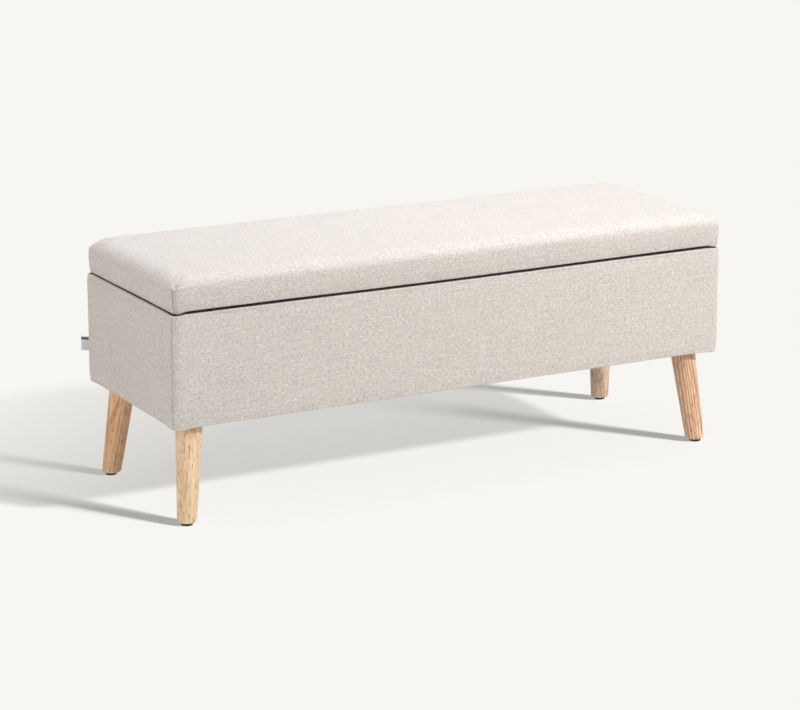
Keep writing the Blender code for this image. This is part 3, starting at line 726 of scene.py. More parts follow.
def lid_cap():
    """The sewn cap of the lid, with its corner seams, tucks and soft unevenness."""
    points, faces, uvs, layout = build_lid_skin()
    normals = vertex_normals(points, faces)
    count, base = layout["wall"]
    distance = np.full(len(points), 9.0)
    x_in = HALF_X - np.abs(layout["flat"][0])
    y_in = HALF_Y - np.abs(layout["flat"][1])
    distance[:base] = np.where(x_in > y_in, x_in, -y_in) + layout["seam_shift"]
    for row in range(layout["rows"]):
        start = base + row * count
        distance[start:start + count] = layout["seam"]
    z = points[:, 2]
    under = smooth(-normals[:, 2], 0.5, 0.9)
    seam_top = LID_EDGE + 0.0035
    below = smooth(-z, -seam_top - 0.0010, -seam_top + 0.0015)
    near = np.abs(distance)
    groove = bump_at(distance, 0, 0.0009) * below * (1 - under)
    cheeks = bump_at(near, 0.0040, 0.0025) * below * (1 - under)
    tuck_line = seam_top + 0.0020 + 0.12 * np.maximum(distance, 0)
    over = z - tuck_line
    tuck = np.tanh(over / 0.0006) * np.exp(-np.abs(over) / 0.0050)
    tuck -= 1.6 * bump_at(over, -0.0006, 0.0010)
    tuck *= smooth(distance, -0.0020, 0.0008) * (1 - smooth(distance, 0.010, 0.020))
    ridge_line = LID_EDGE + 0.001
    on_end = (HALF_X - np.abs(points[:, 0])) < (HALF_Y - np.abs(points[:, 1]))
    ridge = bump_at(z, ridge_line, 0.0016) - bump_at(z, ridge_line - 0.0040, 0.0022)
    ridge = np.where(on_end, ridge, 0)
    fans = np.zeros(len(points))
    for slope, reach in ((0.55, 0.040), (-0.42, 0.030), (1.5, 0.034), (-1.2, 0.026)):
        fold = bump_at(z - seam_top - slope * near, 0, 0.0022)
        fans += fold * smooth(near, 0.004, 0.010) * (1 - smooth(near, reach * 0.5, reach))

    low = wander(points, (0.110, 0.110, 0.160), 1.0)
    folds = wander(points, (0.034, 0.034, 0.140), 2.0)
    small = wander(points, (0.016, 0.016, 0.016), 3.0, 3)
    on_wall = smooth(-z, -LID_EDGE - 0.004, -LID_EDGE + 0.006) * (1 - under)
    broad = 0.0009 * low * (1 - 0.6 * under)
    shift = broad + 0.00065 * folds * on_wall + 0.00012 * small * (1 - under)
    shift += -0.0028 * groove + 0.0003 * cheeks
    shift += 0.0013 * tuck + 0.0006 * ridge - 0.0003 * fans
    edge_band = bump_at(z, LID_BOTTOM + 0.004, 0.006) * (1 - under)
    shift += 0.0006 * edge_band * wander(points, (0.045, 0.045, 0.5), 4.0)
    shift = np.where(under > 0.5, np.minimum(shift, 0.0002), shift)
    points = points + normals * shift[:, None]

    inner = points - vertex_normals(points, faces) * LID_SKIN
    total = len(points)
    all_points = np.concatenate([points, inner])
    outside = [list(face) for face in faces]
    inside = [[total + index for index in face] for face in faces]
    inside, inside_uvs = turned(inside, uvs)
    rim = total - count + np.arange(count)
    all_faces = outside + inside
    all_uvs = list(uvs) + inside_uvs
    for k in range(count):
        n = (k + 1) % count
        all_faces.append([rim[n], rim[k], total + rim[k], total + rim[n]])
        near, far = k * 0.003, k * 0.003 + 0.003
        all_uvs += [(near, 0.0), (near, 0.001), (far, 0.001), (far, 0.0)]
    cap = mesh_object("lid_cap", all_points, all_faces, all_uvs)
    finish_piece(cap, "lid", LINEN, ["lid_cover"])
    return layout


def lid_foam():
    """The foam block in the cap, a little inside its skin."""
    points, faces, _, layout = build_lid_skin()
    count, base = layout["wall"]
    foot_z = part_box("lid_board")[1].z + 0.0003
    used = base + FOAM_ROWS * count
    points = (points - vertex_normals(points, faces) * FOAM_INSET)[:used]
    points[base:, 2] = np.maximum(points[base:, 2], foot_z)
    last = used - count
    points[last:, 2] = foot_z
    rings = [points[last:] * (scale, scale, 1.0) for scale in (0.9, 0.6, 0.3, 0.05)]
    rows = [last + numbers for numbers in row_numbers([points[last:]] + rings)]
    points = np.concatenate([points] + rings)
    faces = [list(face) for face in faces if max(face) < used] + ring_faces(rows)
    faces.append([int(index) for index in rows[-1][::-1]])
    foam = mesh_object("lid_foam_block", points, faces)
    finish_piece(foam, "lid", FOAM, ["lid_foam"])


# Box sleeve -----------------------------------------------------------------------------------

BOX_RADIUS = 0.018
SEAM_ANGLE = 28
PANEL_UV_SHIFT = 0.2137
SEAM_ANGLES = (0, 6, 12, 17, 21, 24, 26, 27, 28, 29, 30, 32, 35, 39, 44, 50, 57, 64, 72, 81, 90)


def side_shares(half):
    """Shares from -1 to 1 along a straight side, closer together towards its ends."""
    steps = graded(half - BOX_RADIUS, 0.0018, 1.16, 0.0085)
    return np.concatenate([-1 + steps / steps[-1], (1 - steps / steps[-1])[-2::-1]])


def outline(half_x, half_y, radius, cut=None):
    """A level outline, from the front left end's seam side round, with evenly matched points.

    Corners are round, or straight cuts if cut is given. Points match between any two outlines.
    """
    long_share = side_shares(HALF_X)
    short_share = side_shares(HALF_Y)
    corner = radius if cut is None else cut
    straight_x = half_x - corner
    straight_y = half_y - corner
    points = []

    def add_corner(sx, sy, from_end):
        angles = SEAM_ANGLES if from_end else SEAM_ANGLES[::-1]
        for angle in angles[1:-1]:
            turn = math.radians(angle)
            if cut is None:
                place = (straight_x + radius * math.cos(turn), straight_y + radius * math.sin(turn))
            else:
                t = angle / 90
                place = (half_x - cut * t, straight_y + cut * t)
            points.append((sx * place[0], sy * place[1]))

    points += [(share * straight_x, -half_y) for share in long_share]
    add_corner(1, -1, False)
    points += [(half_x, share * straight_y) for share in short_share]
    add_corner(1, 1, True)
    points += [(-share * straight_x, half_y) for share in long_share]
    add_corner(-1, 1, False)
    points += [(-half_x, -share * straight_y) for share in short_share]
    add_corner(-1, -1, True)
    return np.array(points)


def box_row(inset, z, cut_share=0.0, inner_cut=0.029):
    """One level row of the sleeve at an inset, moving from round corners to the cut inner ones."""
    half_x = HALF_X - inset
    half_y = HALF_Y - inset
    rounded = outline(half_x, half_y, max(BOX_RADIUS - inset, 0.003))
    if cut_share > 0:
        rounded = rounded * (1 - cut_share) + outline(half_x, half_y, 0.003, inner_cut) * cut_share
    return np.concatenate([rounded, np.full((len(rounded), 1), z)], 1)


def rim_dip():
    """How far the rim's outer edge sinks along the outline: at the corners and halfway along."""
    edge = box_row(0.0, 0.0)
    at_corner = bump_at(np.abs(sleeve_corner_distance(edge)), 0, 0.015)
    return 0.0026 * at_corner + sag(edge[:, 0], edge[:, 1])


def rim_share(inset):
    """The share of that dip at an inset: all of it outside, none over the boards."""
    return 1 - smooth(np.array(inset), 0.005, 0.012)


def box_sleeve():
    """The padded sleeve round the box, folded over its rim and turned in underneath."""
    inner = HALF_X - LINING_HIGH.x + 0.0012
    wrap_bottom = LINING_HIGH.z
    outer_roll = 0.0040
    inner_roll = 0.0028
    profile = [(inner, wrap_bottom, 1.0)]
    for t in (0.2, 0.4, 0.6, 0.8, 1.0):
        profile.append((inner, wrap_bottom + (BOX_TOP - inner_roll - wrap_bottom) * t, 1.0))
    for angle in quarter_turn(4):
        drop = inner_roll * (1 - math.sin(angle))
        profile.append((inner - inner_roll * (1 - math.cos(angle)), BOX_TOP - drop, 1.0))
    flat_start = inner - inner_roll
    for t in (0.2, 0.4, 0.6, 0.8, 1.0):
        inset = flat_start + (outer_roll - flat_start) * t
        profile.append((inset, BOX_TOP, 1.0 - float(smooth(np.array(t), 0.15, 1.0))))
    for angle in quarter_turn(6):
        drop = outer_roll * (1 - math.cos(angle))
        profile.append((outer_roll * (1 - math.sin(angle)), BOX_TOP - drop, 0.0))
    wall_top = BOX_TOP - outer_roll
    wall_foot = BOX_BOTTOM + outer_roll
    wall_rows = 44
    first_wall = len(profile) - 1
    for step in range(1, wall_rows + 1):
        profile.append((0.0, wall_top + (wall_foot - wall_top) * step / wall_rows, 0.0))
    last_wall = len(profile) - 1
    for angle in quarter_turn(6):
        drop = outer_roll * math.sin(angle)
        profile.append((outer_roll * (1 - math.cos(angle)), wall_foot - drop, 0.0))
    rim = HALF_X - DUST_HIGH.x
    for t in (0.3, 0.6, 0.85, 1.0):
        profile.append((outer_roll + (rim - outer_roll) * t, BOX_BOTTOM + 0.0004 * t, 0.0))
    seen = len(profile)
    board = HALF_X - PANEL_X - 0.0004
    profile += [
        (rim, PANEL_BOTTOM - 0.0004, 0.0),
        (board + 0.002, PANEL_BOTTOM - 0.0004, 0.0),
        (board, PANEL_BOTTOM + 0.002, 0.0),
        (board, (PANEL_BOTTOM + PANEL_TOP) / 2, 0.0),
        (board, PANEL_TOP - 0.002, 0.0),
        (board, PANEL_TOP + 0.0004, 0.0),
        (inner - 0.0012, PANEL_TOP + 0.0004, 1.0),
        (inner - 0.0012, wrap_bottom, 1.0),
    ]
    rows = [box_row(*step) for step in profile]
    count = len(rows[0])
    outer = box_row(0.0, 0.0)
    seam = sleeve_seam_distance(outer)
    corner_far = np.abs(sleeve_corner_distance(outer))
    dip = rim_dip()
    droop = 0.0012 + 0.0030 * bump_at(corner_far, 0, 0.030)
    for number, row in enumerate(rows):
        if number < seen:
            share = smooth(row[:, 2], BOX_TOP - 0.030, BOX_TOP - 0.002)
            low_share = 1 - smooth(row[:, 2], BOX_BOTTOM, BOX_BOTTOM + 0.045)
            row[:, 2] -= (dip * share + droop * low_share) * rim_share(profile[number][0])
    points = np.concatenate(rows)
    faces = ring_faces(row_numbers(rows), closed=True)
    steps = np.linalg.norm(np.roll(outer, -1, 0) - outer, axis=1)
    around = np.concatenate([[0], np.cumsum(steps)])
    lengths = [0.0]
    for above, below in zip(profile, profile[1:] + profile[:1]):
        lengths.append(lengths[-1] + math.hypot(above[0] - below[0], above[1] - below[1]))
    panel = panel_numbers(seam)
    uvs = []
    for near, far in zip(lengths, lengths[1:]):
        for k in range(count):
            first, second = (around[k + end] + PANEL_UV_SHIFT * panel[k] for end in (0, 1))
            uvs += [(first, near), (first, far), (second, far), (second, near)]
    faces = np.array(faces)
    normals = vertex_normals(points, faces)
    seen_points = seen * count
    row_number = np.repeat(np.arange(len(rows)), count)
    wall = smooth(row_number, first_wall - 4, first_wall + 1)
    wall *= 1 - smooth(row_number, last_wall, last_wall + 5)
    seam_all = np.tile(seam, len(rows))
    groove = bump_at(seam_all, 0, 0.0009) * smooth(row_number, first_wall - 6, first_wall)
    groove *= 1 - smooth(row_number, last_wall + 3, last_wall + 6)
    cheeks = bump_at(np.abs(seam_all), 0.0042, 0.0026) * wall
    low = wander(points[:seen_points], (0.150, 0.150, 0.120), 11.0)
    folds = wander(points[:seen_points], (0.050, 0.050, 0.260), 12.0)
    small = wander(points[:seen_points], (0.018, 0.018, 0.018), 13.0, 3)
    shift = np.zeros(len(points))
    shift[:seen_points] = 0.0008 * low * wall[:seen_points] + 0.00055 * folds * wall[:seen_points]
    shift[:seen_points] += 0.00010 * small
    shift += -0.0014 * groove + 0.0006 * cheeks
    z = points[:, 2]
    top_pull = bump_at(z, BOX_TOP - 0.010, 0.010) * wall * wander_wall(points, 0.070, 14.0)
    foot_pull = bump_at(z, BOX_BOTTOM + 0.008, 0.010) * wall * wander_wall(points, 0.060, 15.0)
    shift += 0.0005 * top_pull + 0.0006 * foot_pull
    on_end = smooth(-np.tile(sleeve_corner_distance(outer), len(rows)), -0.004, 0.012) * wall
    left_end = 0.0006 + 0.0019 * smooth(z, 0.25, 0.385)
    right_end = 0.0005 + 0.0019 * bump_at(z, 0.305, 0.055) - 0.0012 * smooth(-z, -0.24, -0.19)
    shift -= on_end * np.where(points[:, 0] < 0, left_end, right_end)
    shift -= 0.0018 * wall * smooth(z, BOX_TOP - 0.020, BOX_TOP - 0.002)
    shift -= 0.0016 * wall * smooth(-z, -BOX_BOTTOM - 0.018, -BOX_BOTTOM)
    shift *= 1 - smooth(row_number, seen - 2, seen)
    points = points + normals * shift[:, None]
    sleeve = mesh_object("box_sleeve", points, faces, uvs)
    finish_piece(sleeve, "box", LINEN, ["box_cover"])


def wander_wall(points, size, seed):
    """Noise that changes along the outline and not with height."""
    flat = points.copy()
    flat[:, 2] = 0.0
    return wander(flat, (size, size, 1.0), seed, 1)


def signed_distance_from(outer, index_of_corner):
    """Distance along an outline from the nearest of some of its points, plus towards the long sides."""
    steps = np.linalg.norm(np.roll(outer, -1, 0) - outer, axis=1)
    places = np.concatenate([[0], np.cumsum(steps)[:-1]])
    total = float(steps.sum())
    best = np.full(len(outer), 9.0)
    for index, towards in index_of_corner:
        gap = places - places[index]
        gap = (gap + total / 2) % total - total / 2
        gap = gap * towards
        best = np.where(np.abs(gap) < np.abs(best), gap, best)
    return best


def corner_indices(outer, angle):
    """The outline's points at an angle from each end's side of the corners."""
    found = []
    turn = math.radians(angle)
    reach = BOX_RADIUS
    for sx, sy in CORNERS.values():
        target_x = sx * (HALF_X - reach + reach * math.cos(turn))
        target_y = sy * (HALF_Y - reach + reach * math.sin(turn))
        index = int(np.argmin(np.hypot(outer[:, 0] - target_x, outer[:, 1] - target_y)))
        found.append((index, -1 if sx * sy < 0 else 1))
    return found


def sleeve_seam_distance(outer):
    return signed_distance_from(outer, corner_indices(outer, SEAM_ANGLE))


def sleeve_corner_distance(outer):
    return signed_distance_from(outer, corner_indices(outer, 45))


def panel_numbers(seam):
    """Which of the sleeve's four panels each step of the outline belongs to."""
    return np.cumsum(np.abs(seam) < 1e-9) % 4


# Stitches, screws and staples -----------------------------------------------------------------

STITCH_PITCH = 0.0052
STITCH_LEAN = 0.9
CROSS_ARM = 0.62
CROSS_HALF = 0.13
PLATE_SCREW_REACH = 0.0215


def loft(body, rings, closed=True):
    """Skin over rings of vertices, with its two ends closed."""
    for first, second in zip(rings, rings[1:]):
        for k in range(len(first)):
            n = (k + 1) % len(first)
            body.faces.new((first[k], first[n], second[n], second[k]))
    if closed:
        body.faces.new(reversed(rings[0]))
        body.faces.new(rings[-1])


def small_bar(body, centre, direction, across, length, width, rise):
    """A short bar with rounded ends, lying on a surface, added to a bmesh."""
    direction = Vector(direction).normalized()
    up = Vector(across).normalized()
    sideways = up.cross(direction).normalized()
    rings = []
    for t, share in ((-0.5, 0.35), (-0.38, 0.9), (0.0, 1.0), (0.38, 0.9), (0.5, 0.35)):
        ring = []
        for angle in turns(8):
            offset = sideways * (width / 2 * share * math.cos(angle))
            offset += up * (rise * share * math.sin(angle))
            ring.append(body.verts.new(Vector(centre) + direction * (length * t) + offset))
        rings.append(ring)
    loft(body, rings)


def bmesh_piece(name, body, flat=False):
    bmesh.ops.recalc_face_normals(body, faces=body.faces)
    mesh = bpy.data.meshes.new(name)
    body.to_mesh(mesh)
    body.free()
    mesh.shade_smooth()
    if flat:
        mesh.set_sharp_from_angle(angle=math.radians(35))
    piece = bpy.data.objects.new(name, mesh)
    bpy.context.scene.collection.objects.link(piece)
    return piece


def corner_stitches(part, seams, bottom, top, sink, size):
    """Short slanting stitches up corner seams, each given as its place, way out and lean."""
    body = bmesh.new()
    for place, outward, lean in seams:
        tangent = Vector((-outward.y, outward.x, 0))
        z = bottom
        while z < top:
            centre = Vector((place[0], place[1], z)) - outward * sink
            small_bar(body, centre, Vector((0, 0, 1)) + tangent * lean, outward, *size)
            z += STITCH_PITCH
    piece = bmesh_piece(part + "_corner_stitches", body)
    layer = piece.data.uv_layers.new(name=CLOTH_UV)
    for loop in piece.data.loops:
        place = piece.data.vertices[loop.vertex_index].co
        layer.data[loop.index].uv = (place.x + place.y, place.z)
    finish_piece(piece, part, THREAD)


def box_stitches():
    """Stitches over the sleeve's four corner seams."""
    outer = box_row(0.0, 0.0)
    seams = []
    for index, towards in corner_indices(outer, SEAM_ANGLE):
        tangent = Vector(outer[(index + 1) % len(outer)] - outer[index - 1]).normalized()
        seams.append((outer[index], Vector((tangent.y, -tangent.x, 0)), STITCH_LEAN * towards))
    corner_stitches("box", seams, BOX_BOTTOM + 0.008, BOX_TOP - 0.010, 0.0010, (0.0030, 0.0007, 0.0005))


def lid_stitches(layout):
    """Stitches on the lid's four corner seams."""
    seams = []
    for index in np.where(np.abs(layout["seam"]) < 1e-6)[0]:
        place = layout["loop"][index]
        lean = STITCH_LEAN if place[0] * place[1] > 0 else -STITCH_LEAN
        seams.append((place, Vector(layout["outward"][index]), lean))
    size = (0.0028, 0.0006, 0.0004)
    corner_stitches("lid", seams, LID_BOTTOM + 0.001, LID_EDGE + 0.001, 0.0012, size)


def staple(body, centre, along, down):
    """A staple's crown with its bent shoulders, lying on a cloth."""
    along = Vector(along).normalized()
    down = Vector(down).normalized()
    side = along.cross(down).normalized()
    length = 0.0095
    wire = 0.0006
    rings = []
    for t, height in ((-0.5, -0.9), (-0.5, 0.0), (-0.44, 0.5), (0.44, 0.5), (0.5, 0.0), (0.5, -0.9)):
        middle = Vector(centre) + along * (t * length) + down * (height * wire)
        end = along * (1 if t > 0 else -1)
        normal = down
        if height < 0:
            normal = end
        elif height == 0:
            normal = (end + down * 0.7).normalized()
        corners = []
        for a, b in ((-1, -1), (1, -1), (1, 1), (-1, 1)):
            place = middle + side * (a * wire * 0.8) + normal * (b * wire * 0.35)
            corners.append(body.verts.new(place))
        rings.append(corners)
    loft(body, rings)


def screw_head(body, centre, outward, radius, rise):
    """A round head with a cross recess at any turn, facing outward, added to a bmesh."""
    spin = Vector((0, 0, 1)).rotation_difference(Vector(outward).normalized())
    turn = random.uniform(0, 1.5)
    arm = radius * CROSS_ARM
    half = radius * CROSS_HALF

    def cross_radius(angle):
        local = (angle - turn + math.pi / 4) % (math.pi / 2) - math.pi / 4
        return min(arm / max(math.cos(local), 0.2), half / max(abs(math.sin(local)), 1e-3), arm)

    def ring(radii, height):
        made = []
        for angle in turns(32):
            r = radii(angle) if callable(radii) else radii
            offset = Vector((r * math.cos(angle), r * math.sin(angle), height))
            made.append(body.verts.new(Vector(centre) + spin @ offset))
        return made

    rings = [
        ring(radius, -0.0004),
        ring(radius, rise * 0.35),
        ring(radius * 0.86, rise * 0.85),
        ring(radius * 0.70, rise),
        ring(cross_radius, rise),
        ring(cross_radius, -0.0002),
    ]
    loft(body, rings)


def hinge_screws():
    """Countersunk screws through the hinge leaves."""
    for half, suffix, direction in (("box", "box_leaf", 1), ("lid", "lid_leaf", -1)):
        body = bmesh.new()
        for place in ("left", "middle", "right"):
            low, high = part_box(place + "_hinge_" + suffix)
            face = low.z + 0.0012 if direction > 0 else high.z - 0.0012
            centre_x = (low.x + high.x) / 2
            for number, share in enumerate((-0.36, 0.0, 0.36)):
                y = low.y + (0.0062 if number == 1 else 0.0105)
                centre = (centre_x + share * (high.x - low.x), y, face)
                screw_head(body, centre, (0, 0, direction), 0.0030, 0.00035)
        piece = bmesh_piece("hinge_screws_" + half, body, True)
        finish_piece(piece, half, ZINC)


def stay_screws():
    """Screws through the stays' brackets."""
    box_body = bmesh.new()
    lid_body = bmesh.new()
    for side, sign in SIDES.items():
        low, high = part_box(side + "_stay_box_bracket")
        inner = high.x if sign < 0 else low.x
        middle_y = (low.y + high.y) / 2
        middle_z = (low.z + high.z) / 2
        for dz in (-0.0155, 0.0155):
            centre = (inner, middle_y, middle_z + dz)
            screw_head(box_body, centre, (-sign, 0, 0), 0.0030, 0.00022)
        low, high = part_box(side + "_stay_lid_bracket")
        bottom = high.z - 0.002
        x = low.x + 0.0085 if sign > 0 else high.x - 0.0085
        for dy in (-0.013, 0.013):
            centre = (x, (low.y + high.y) / 2 + dy, bottom)
            screw_head(lid_body, centre, (0, 0, -1), 0.0034, 0.0009)
    finish_piece(bmesh_piece("stay_screws_box", box_body, True), "box", ZINC)
    finish_piece(bmesh_piece("stay_screws_lid", lid_body, True), "lid", ZINC)


def plate_screws():
    """Four pan-head screws under each leg plate."""
    body = bmesh.new()
    for corner in CORNERS:
        low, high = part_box(corner + "_leg_plate")
        bottom = high.z - 0.002
        for dx in (-PLATE_SCREW_REACH, PLATE_SCREW_REACH):
            for dy in (-PLATE_SCREW_REACH, PLATE_SCREW_REACH):
                centre = ((low.x + high.x) / 2 + dx, (low.y + high.y) / 2 + dy, bottom)
                screw_head(body, centre, (0, 0, -1), 0.0036, 0.0014)
    finish_piece(bmesh_piece("leg_plate_screws", body, True), "box", ZINC)


def lining_staples():
    """Staples round the cloth under the lid and under the box."""
    x = LID_LINING_HIGH.x - 0.004
    y = LID_LINING_HIGH.y - 0.004
    staple_ring("lid_staples", "lid", x, y, LID_LINING_LOW.z - 0.0008, 0.052)
    half_x, half_y = DUST_HIGH.x - 0.005, DUST_HIGH.y - 0.005
    staple_ring("dust_sheet_staples", "box", half_x, half_y, DUST_LOW.z, 0.060)


def staple_ring(name, part, x, y, z, spacing):
    """Hand-driven staples, a little uneven, along the four sides of a rectangle."""
    body = bmesh.new()
    corners = [Vector(place) for place in ((-x, -y, z), (x, -y, z), (x, y, z), (-x, y, z))]
    for first, last in zip(corners, corners[1:] + corners[:1]):
        along = (last - first).normalized()
        count = int((last - first).length / spacing)
        for number in range(count):
            t = (number + 0.5) / count
            tilt = Vector((random.uniform(-0.12, 0.12), random.uniform(-0.12, 0.12), 0))
            jitter = random.uniform(-0.006, 0.006)
            staple(body, first.lerp(last, t) + along * jitter, along + tilt, (0, 0, -1))
    finish_piece(bmesh_piece(name, body, True), part, ZINC)


# Linings --------------------------------------------------------------------------------------


def storage_lining():
    """The black tub inside: hemmed top, creased corners, walls that hang a little loose."""
    outer_x = LINING_HIGH.x
    top = LINING_HIGH.z
    floor = LINING_LOW.z
    thick = 0.0011
    inset_out = HALF_X - outer_x

    def row(inset, z, scale=1.0):
        ring = box_row(inset_out + inset, z, 1.0, 0.0285)
        ring[:, :2] *= scale
        return ring

    rows = [row(0.0, floor + 0.0002, s) for s in (0.5, 0.75, 0.97)]
    rows += [row(0.0, floor + 0.0002), row(0.0, (floor + top) / 2), row(0.0, top - 0.001)]
    outside = len(rows)
    rows += [row(0.0004, top), row(thick, top - 0.0004)]
    walls = 26
    for step in range(1, walls + 1):
        z = top - 0.0015 - (top - floor - 0.0045) * step / walls
        rows.append(row(thick, z))
    rows += [row(thick + 0.0008, floor + thick + 0.0008), row(thick + 0.0025, floor + thick)]
    rows += [row(thick + 0.0025, floor + thick, s) for s in (0.985, 0.96, 0.92, 0.86, 0.75, 0.6, 0.45)]
    count = len(rows[0])
    points = np.concatenate(rows)
    indices = row_numbers(rows)
    faces = ring_faces(indices)
    normals = -vertex_normals(points, np.array(faces))
    row_number = np.repeat(np.arange(len(rows)), count)
    loose = smooth(row_number, outside + 3, outside + 9)
    low = 0.5 + 0.5 * wander(points, (0.150, 0.150, 0.200), 21.0, 1)
    fine = wander(points, (0.030, 0.030, 0.030), 22.0)
    near_stay = np.abs(points[:, 0]) > outer_x - 0.02
    amount = np.where(near_stay, 0.0, 0.0016 * low + 0.0003 * fine)
    inside = smooth(row_number, outside + 2, outside + 4)
    flat_middle = smooth(row_number, len(rows) - 4, len(rows) - 1)
    points = points + normals * (amount * loose * inside * (1 - flat_middle))[:, None]
    hem = bump_at(points[:, 2], top - 0.014, 0.0008) * inside * (row_number < outside + 2 + walls)
    points = points - normals * (0.0003 * hem)[:, None]
    uvs = cylinder_uvs(points, faces, count, len(rows))
    ends = [[int(index) for index in ring] for ring in (indices[0], indices[-1][::-1])]
    faces, uvs = turned(faces + ends, uvs + flat_uvs(points, ends))
    lining = mesh_object("storage_lining", points, faces, uvs)
    finish_piece(lining, "box", BLACK_CLOTH, ["interior_lining"])


def rim_shade_tape():
    """Black tape over the top of the box's rim, where the lid closes on it: a dark sheet that paints
    shade into the gap between lid and box.
    """
    inner = HALF_X - LINING_HIGH.x + 0.0009
    outer = 0.0058
    low = BOX_TOP - 0.0010
    high = BOX_TOP + 0.0002
    steps = [(outer, low), (outer, high - 0.0002), (outer + 0.0003, high)]
    steps += [(outer + (inner - outer) * t, high) for t in (0.25, 0.5, 0.75)]
    steps += [(inner - 0.0003, high), (inner, high - 0.0002), (inner, low)]
    rows = []
    for inset, z in steps:
        cut_share = 1.0 - float(smooth(np.array((inner - inset) / (inner - 0.004)), 0.15, 1.0))
        row = box_row(inset, z, cut_share)
        row[:, 2] -= rim_dip() * rim_share(inset)
        rows.append(row)
    points = np.concatenate(rows)
    faces = [face[::-1] for face in ring_faces(row_numbers(rows), closed=True)]
    tape = mesh_object("rim_shade_tape", points, faces, flat_uvs(points, faces))
    finish_piece(tape, "box", BLACK_CLOTH)


def cylinder_uvs(points, faces, count, row_count):
    """Cloth coordinates in metres for a lofted piece: round it, and along its rows."""
    rows = np.asarray(points).reshape(row_count, count, 3)
    widest = rows[row_count // 2]
    steps = np.linalg.norm(np.roll(widest, -1, 0) - widest, axis=1)
    around = np.concatenate([[0], np.cumsum(steps)])
    gaps = np.median(np.linalg.norm(np.diff(rows, axis=0), axis=2), axis=1)
    lengths = np.concatenate([[0], np.cumsum(gaps)])
    uvs = []
    for number in range(len(faces)):
        row, k = divmod(number, count)
        near = lengths[row]
        far = lengths[row + 1]
        flat = abs(rows[row][k][2] - rows[row + 1][k][2]) < 0.0004
        if flat:
            uvs += [tuple(points[index][:2]) for index in faces[number]]
        else:
            uvs += [(around[k], near), (around[k], far), (around[k + 1], far), (around[k + 1], near)]
    return uvs


def sheet_piece(name, half_x, half_y, corner, low, high, swell, body, node):
    """A thin stapled sheet with a folded hem, whose under side is what shows."""
    scales = (0.40, 0.55, 0.68, 0.79, 0.87, 0.92, 0.955, 0.975, 0.985, 0.993, 1.0)
    base = outline(half_x, half_y, corner)
    count = len(base)
    hem = 0.009

    def row(scale, z):
        return np.concatenate([base * scale, np.full((count, 1), z)], 1)

    rows = [row(scale, low) for scale in scales]
    rows += [row(1.0, (low + high) / 2)]
    rows += [row(scale, high) for scale in (0.999, 0.5)]
    under = len(scales)
    points = np.concatenate(rows)
    row_number = np.repeat(np.arange(len(rows)), count)
    edge = np.minimum(half_x - np.abs(points[:, 0]), half_y - np.abs(points[:, 1]))
    seen = row_number < under
    wave = wander(points, (0.090, 0.060, 1.0), 31.0)
    pucker = wander(points, (0.020, 0.020, 1.0), 32.0) * bump_at(edge, 0.004, 0.014)
    loose = smooth(edge, 0.010, 0.070)
    from_middle = np.repeat([scales[min(number, under - 1)] for number in range(len(rows))], count)
    shift = swell * (0.6 + 0.4 * wave * smooth(from_middle, 0.4, 0.7)) * loose + 0.0003 * pucker
    shift += 0.0004 * (1 - smooth(edge, hem - 0.0008, hem + 0.0008))
    points[:, 2] -= np.where(seen, shift, 0)
    indices = row_numbers(rows)
    faces = ring_faces(indices)
    faces += [[int(index) for index in ring] for ring in (indices[0], indices[-1][::-1])]
    faces = [face[::-1] for face in faces]
    sheet = mesh_object(name, points, faces, flat_uvs(points, faces))
    finish_piece(sheet, body, BLACK_CLOTH, [node])
    return sheet


# Legs, glides and tag -------------------------------------------------------------------------

LEG_STEPS = 56
FOOT_ROUND = 0.0048
LEG_ROWS = 26


def leg_line(corner):
    """The leg's axis: the middle of its foot, the middle of its top, and their radii."""
    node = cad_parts[corner + "_leg"]
    places = np.array([vertex.co for vertex in node.data.vertices])
    radial = places[places[:, 2] > places[:, 2].max() - 0.030]
    foot_z = places[:, 2].min()
    low_ring = places[np.abs(places[:, 2] - foot_z - 0.002) < 0.0004]
    foot = (low_ring.max(0) + low_ring.min(0)) / 2
    foot_radius = (low_ring[:, 0].max() - low_ring[:, 0].min()) / 2
    bolt = np.array([vertex.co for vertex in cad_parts[corner + "_leg_bolt"].data.vertices])
    bolt_low = bolt[bolt[:, 2] < np.median(bolt[:, 2])].mean(0)
    bolt_high = bolt[bolt[:, 2] > np.median(bolt[:, 2])].mean(0)
    direction = Vector(bolt_high - bolt_low).normalized()
    top_centre = Vector(bolt_low) + direction * ((radial.mean(0)[2] - bolt_low[2]) / direction.z)
    along = np.array([(Vector(place) - top_centre).dot(direction) for place in places])
    top = top_centre + direction * float(along.max())
    radii = np.array([((Vector(place) - top).cross(direction)).length for place in places])
    return Vector(foot), top, direction, float(foot_radius), float(radii.max())


